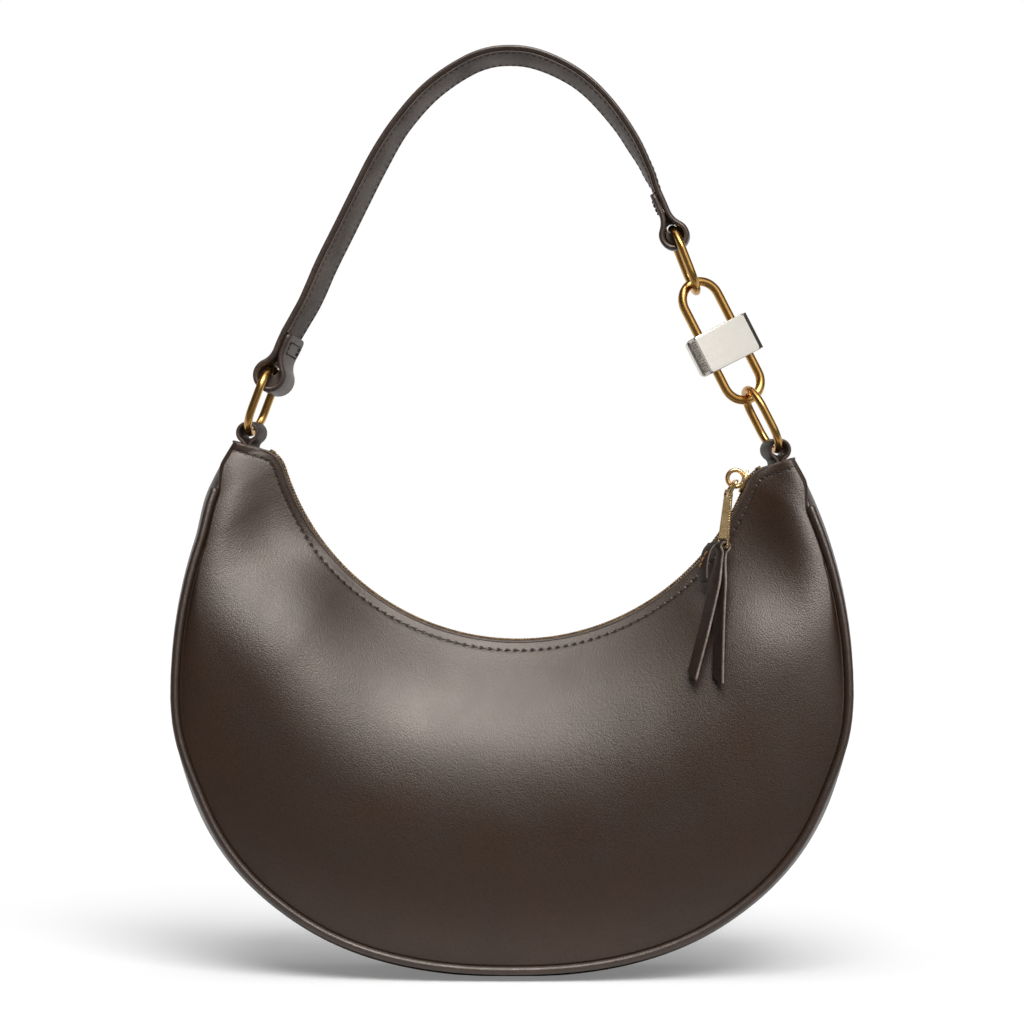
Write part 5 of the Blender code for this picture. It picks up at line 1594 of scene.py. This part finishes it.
wireClear = chainShape["ringWire"] + 0.0005
foldRest = (0.0, chainShape["ringRadius"] - strapShape["seat"])
for name, origin, up in (("leftFoldPad", strapPivot + leftUp * strapShape["seat"], leftUp),
                         ("rightFoldPad", upperPivot + upperUp * strapShape["seat"], upperUp)):
    hole = strapShape["hole"] if name.startswith("left") else strapShape["rightHole"]
    makePad(name, origin, rightOf(up), up, hole - 0.00015, foldRest, wireClear, -206, 26, 0.0056,
            strapLiningLeather, "strap")
    way = lean(strapShape["leftLean"] if name.startswith("left") else strapShape["rightLean"])
    makeNeckPad(name.replace("Fold", "Neck"), origin, rightOf(way), way, dict(strapShape, hole=hole),
                foldRest[1], 0.0050, strapLiningLeather, "strap")
print("tabs and strap made")


# floor, light and camera

stageLook = {
    "floorGlow": 0.20, "floorColour": 0.82, "floorFront": 0.14, "frontAt": (-0.20, -0.03),
    # strength, width, height and turn in degrees of three soft lamps side by side, and one from the top
    "lamps": {"leftLamp": (0.40, 40.0, 62.0, -25.0), "middleLamp": (1.80, 34.0, 48.0, 4.0),
              "rightLamp": (1.25, 28.0, 36.0, 20.0), "topLamp": (0.35, 50.0, 80.0, 0.0)},
    "fill": 0.15, "room": 0.06, "camera": (0.0, -1.5, 0.2026), "lens": 119.7,
    # direction, where it starts and ends, and strength of two soft cards that only the gloss sees
    "cards": (((0.61, -0.73, 0.31), 0.80, 0.95, 0.92), ((-0.94, 0.30, 0.10), 0.90, 0.98, 0.45)),
}


def makeStage():
    mesh = bpy.data.meshes.new("paleFloor")
    mesh.from_pydata([(-30, -20, 0), (30, -20, 0), (30, 60, 0), (-30, 60, 0)], [], [(0, 1, 2, 3)])
    floor = bpy.data.objects.new("paleFloor", mesh)
    floor.location.z = -0.0004
    bpy.context.scene.collection.objects.link(floor)
    look = bpy.data.materials.new("paleFloor")
    look.use_nodes = True
    n = Nodes(look.node_tree)
    shader = look.node_tree.nodes["Principled BSDF"]
    path = n.add("LightPath")
    seen = path.outputs["Is Camera Ray"]
    pale, dim = [(stageLook[key],) * 3 + (1,) for key in ("floorColour", "floorFront")]
    depth = n.add("SeparateXYZ", {"Vector": n.add("TexCoord").outputs["Object"]}).outputs["Y"]
    near = n.range(depth, *stageLook["frontAt"], 0.0, 1.0)
    n.put(shader.inputs["Base Color"], n.blend(n.math("MAXIMUM", seen, near), dim, pale))
    shader.inputs["Roughness"].default_value = 0.9
    shader.inputs["Specular IOR Level"].default_value = 0.1
    shader.inputs["Emission Color"].default_value = (1, 1, 1, 1)
    n.put(shader.inputs["Emission Strength"], n.times(seen, stageLook["floorGlow"]))
    mesh.materials.append(look)

    world = bpy.data.worlds.new("paleRoom")
    bpy.context.scene.world = world
    world.use_nodes = True
    n = Nodes(world.node_tree)
    background = world.node_tree.nodes["Background"]
    way = n.add("TexCoord").outputs["Generated"]
    parts = n.add("SeparateXYZ", {"Vector": way})
    room = n.math("MAXIMUM", n.range(parts.outputs["Y"], 0.45, 0.85, 0.0, 1.0), stageLook["room"])
    for place, low, high, strength in stageLook["cards"]:
        facing = n.add("VectorMath", {0: way, 1: place}, operation="DOT_PRODUCT").outputs["Value"]
        room = n.math("MAXIMUM", room, n.range(facing, low, high, 0.0, strength))
    path = n.add("LightPath")
    glossy = n.math("MAXIMUM", path.outputs["Is Glossy Ray"], path.outputs["Is Transmission Ray"])
    value = n.add("Mix", {0: glossy, 2: stageLook["fill"], 3: room}, data_type="FLOAT").outputs[0]
    value = n.add("Mix", {0: path.outputs["Is Camera Ray"], 2: value, 3: 1.0}, data_type="FLOAT").outputs[0]
    n.put(background.inputs["Strength"], value)
    background.inputs["Color"].default_value = (1, 1, 1, 1)

    for name, (strength, angle, height, turn) in stageLook["lamps"].items():
        data = bpy.data.lights.new(name, "SUN")
        data.energy = strength
        data.angle = math.radians(angle)
        lamp = bpy.data.objects.new(name, data)
        a, e = math.radians(turn), math.radians(height)
        way = Vector((math.sin(a) * math.cos(e), -math.cos(a) * math.cos(e), math.sin(e)))
        lamp.rotation_mode = "QUATERNION"
        lamp.rotation_quaternion = way.to_track_quat("Z", "Y")
        lamp.location = way
        bpy.context.scene.collection.objects.link(lamp)

    data = bpy.data.cameras.new("photoCamera")
    data.sensor_width = 36.0
    data.lens = stageLook["lens"]
    camera = bpy.data.objects.new("photoCamera", data)
    camera.location = stageLook["camera"]
    camera.rotation_euler = (math.pi / 2, 0, 0)
    data.clip_start, data.clip_end = 0.05, 200
    bpy.context.scene.collection.objects.link(camera)
    bpy.context.scene.camera = camera
    bpy.context.scene.view_settings.view_transform = "Standard"


makeStage()
print("stage made")
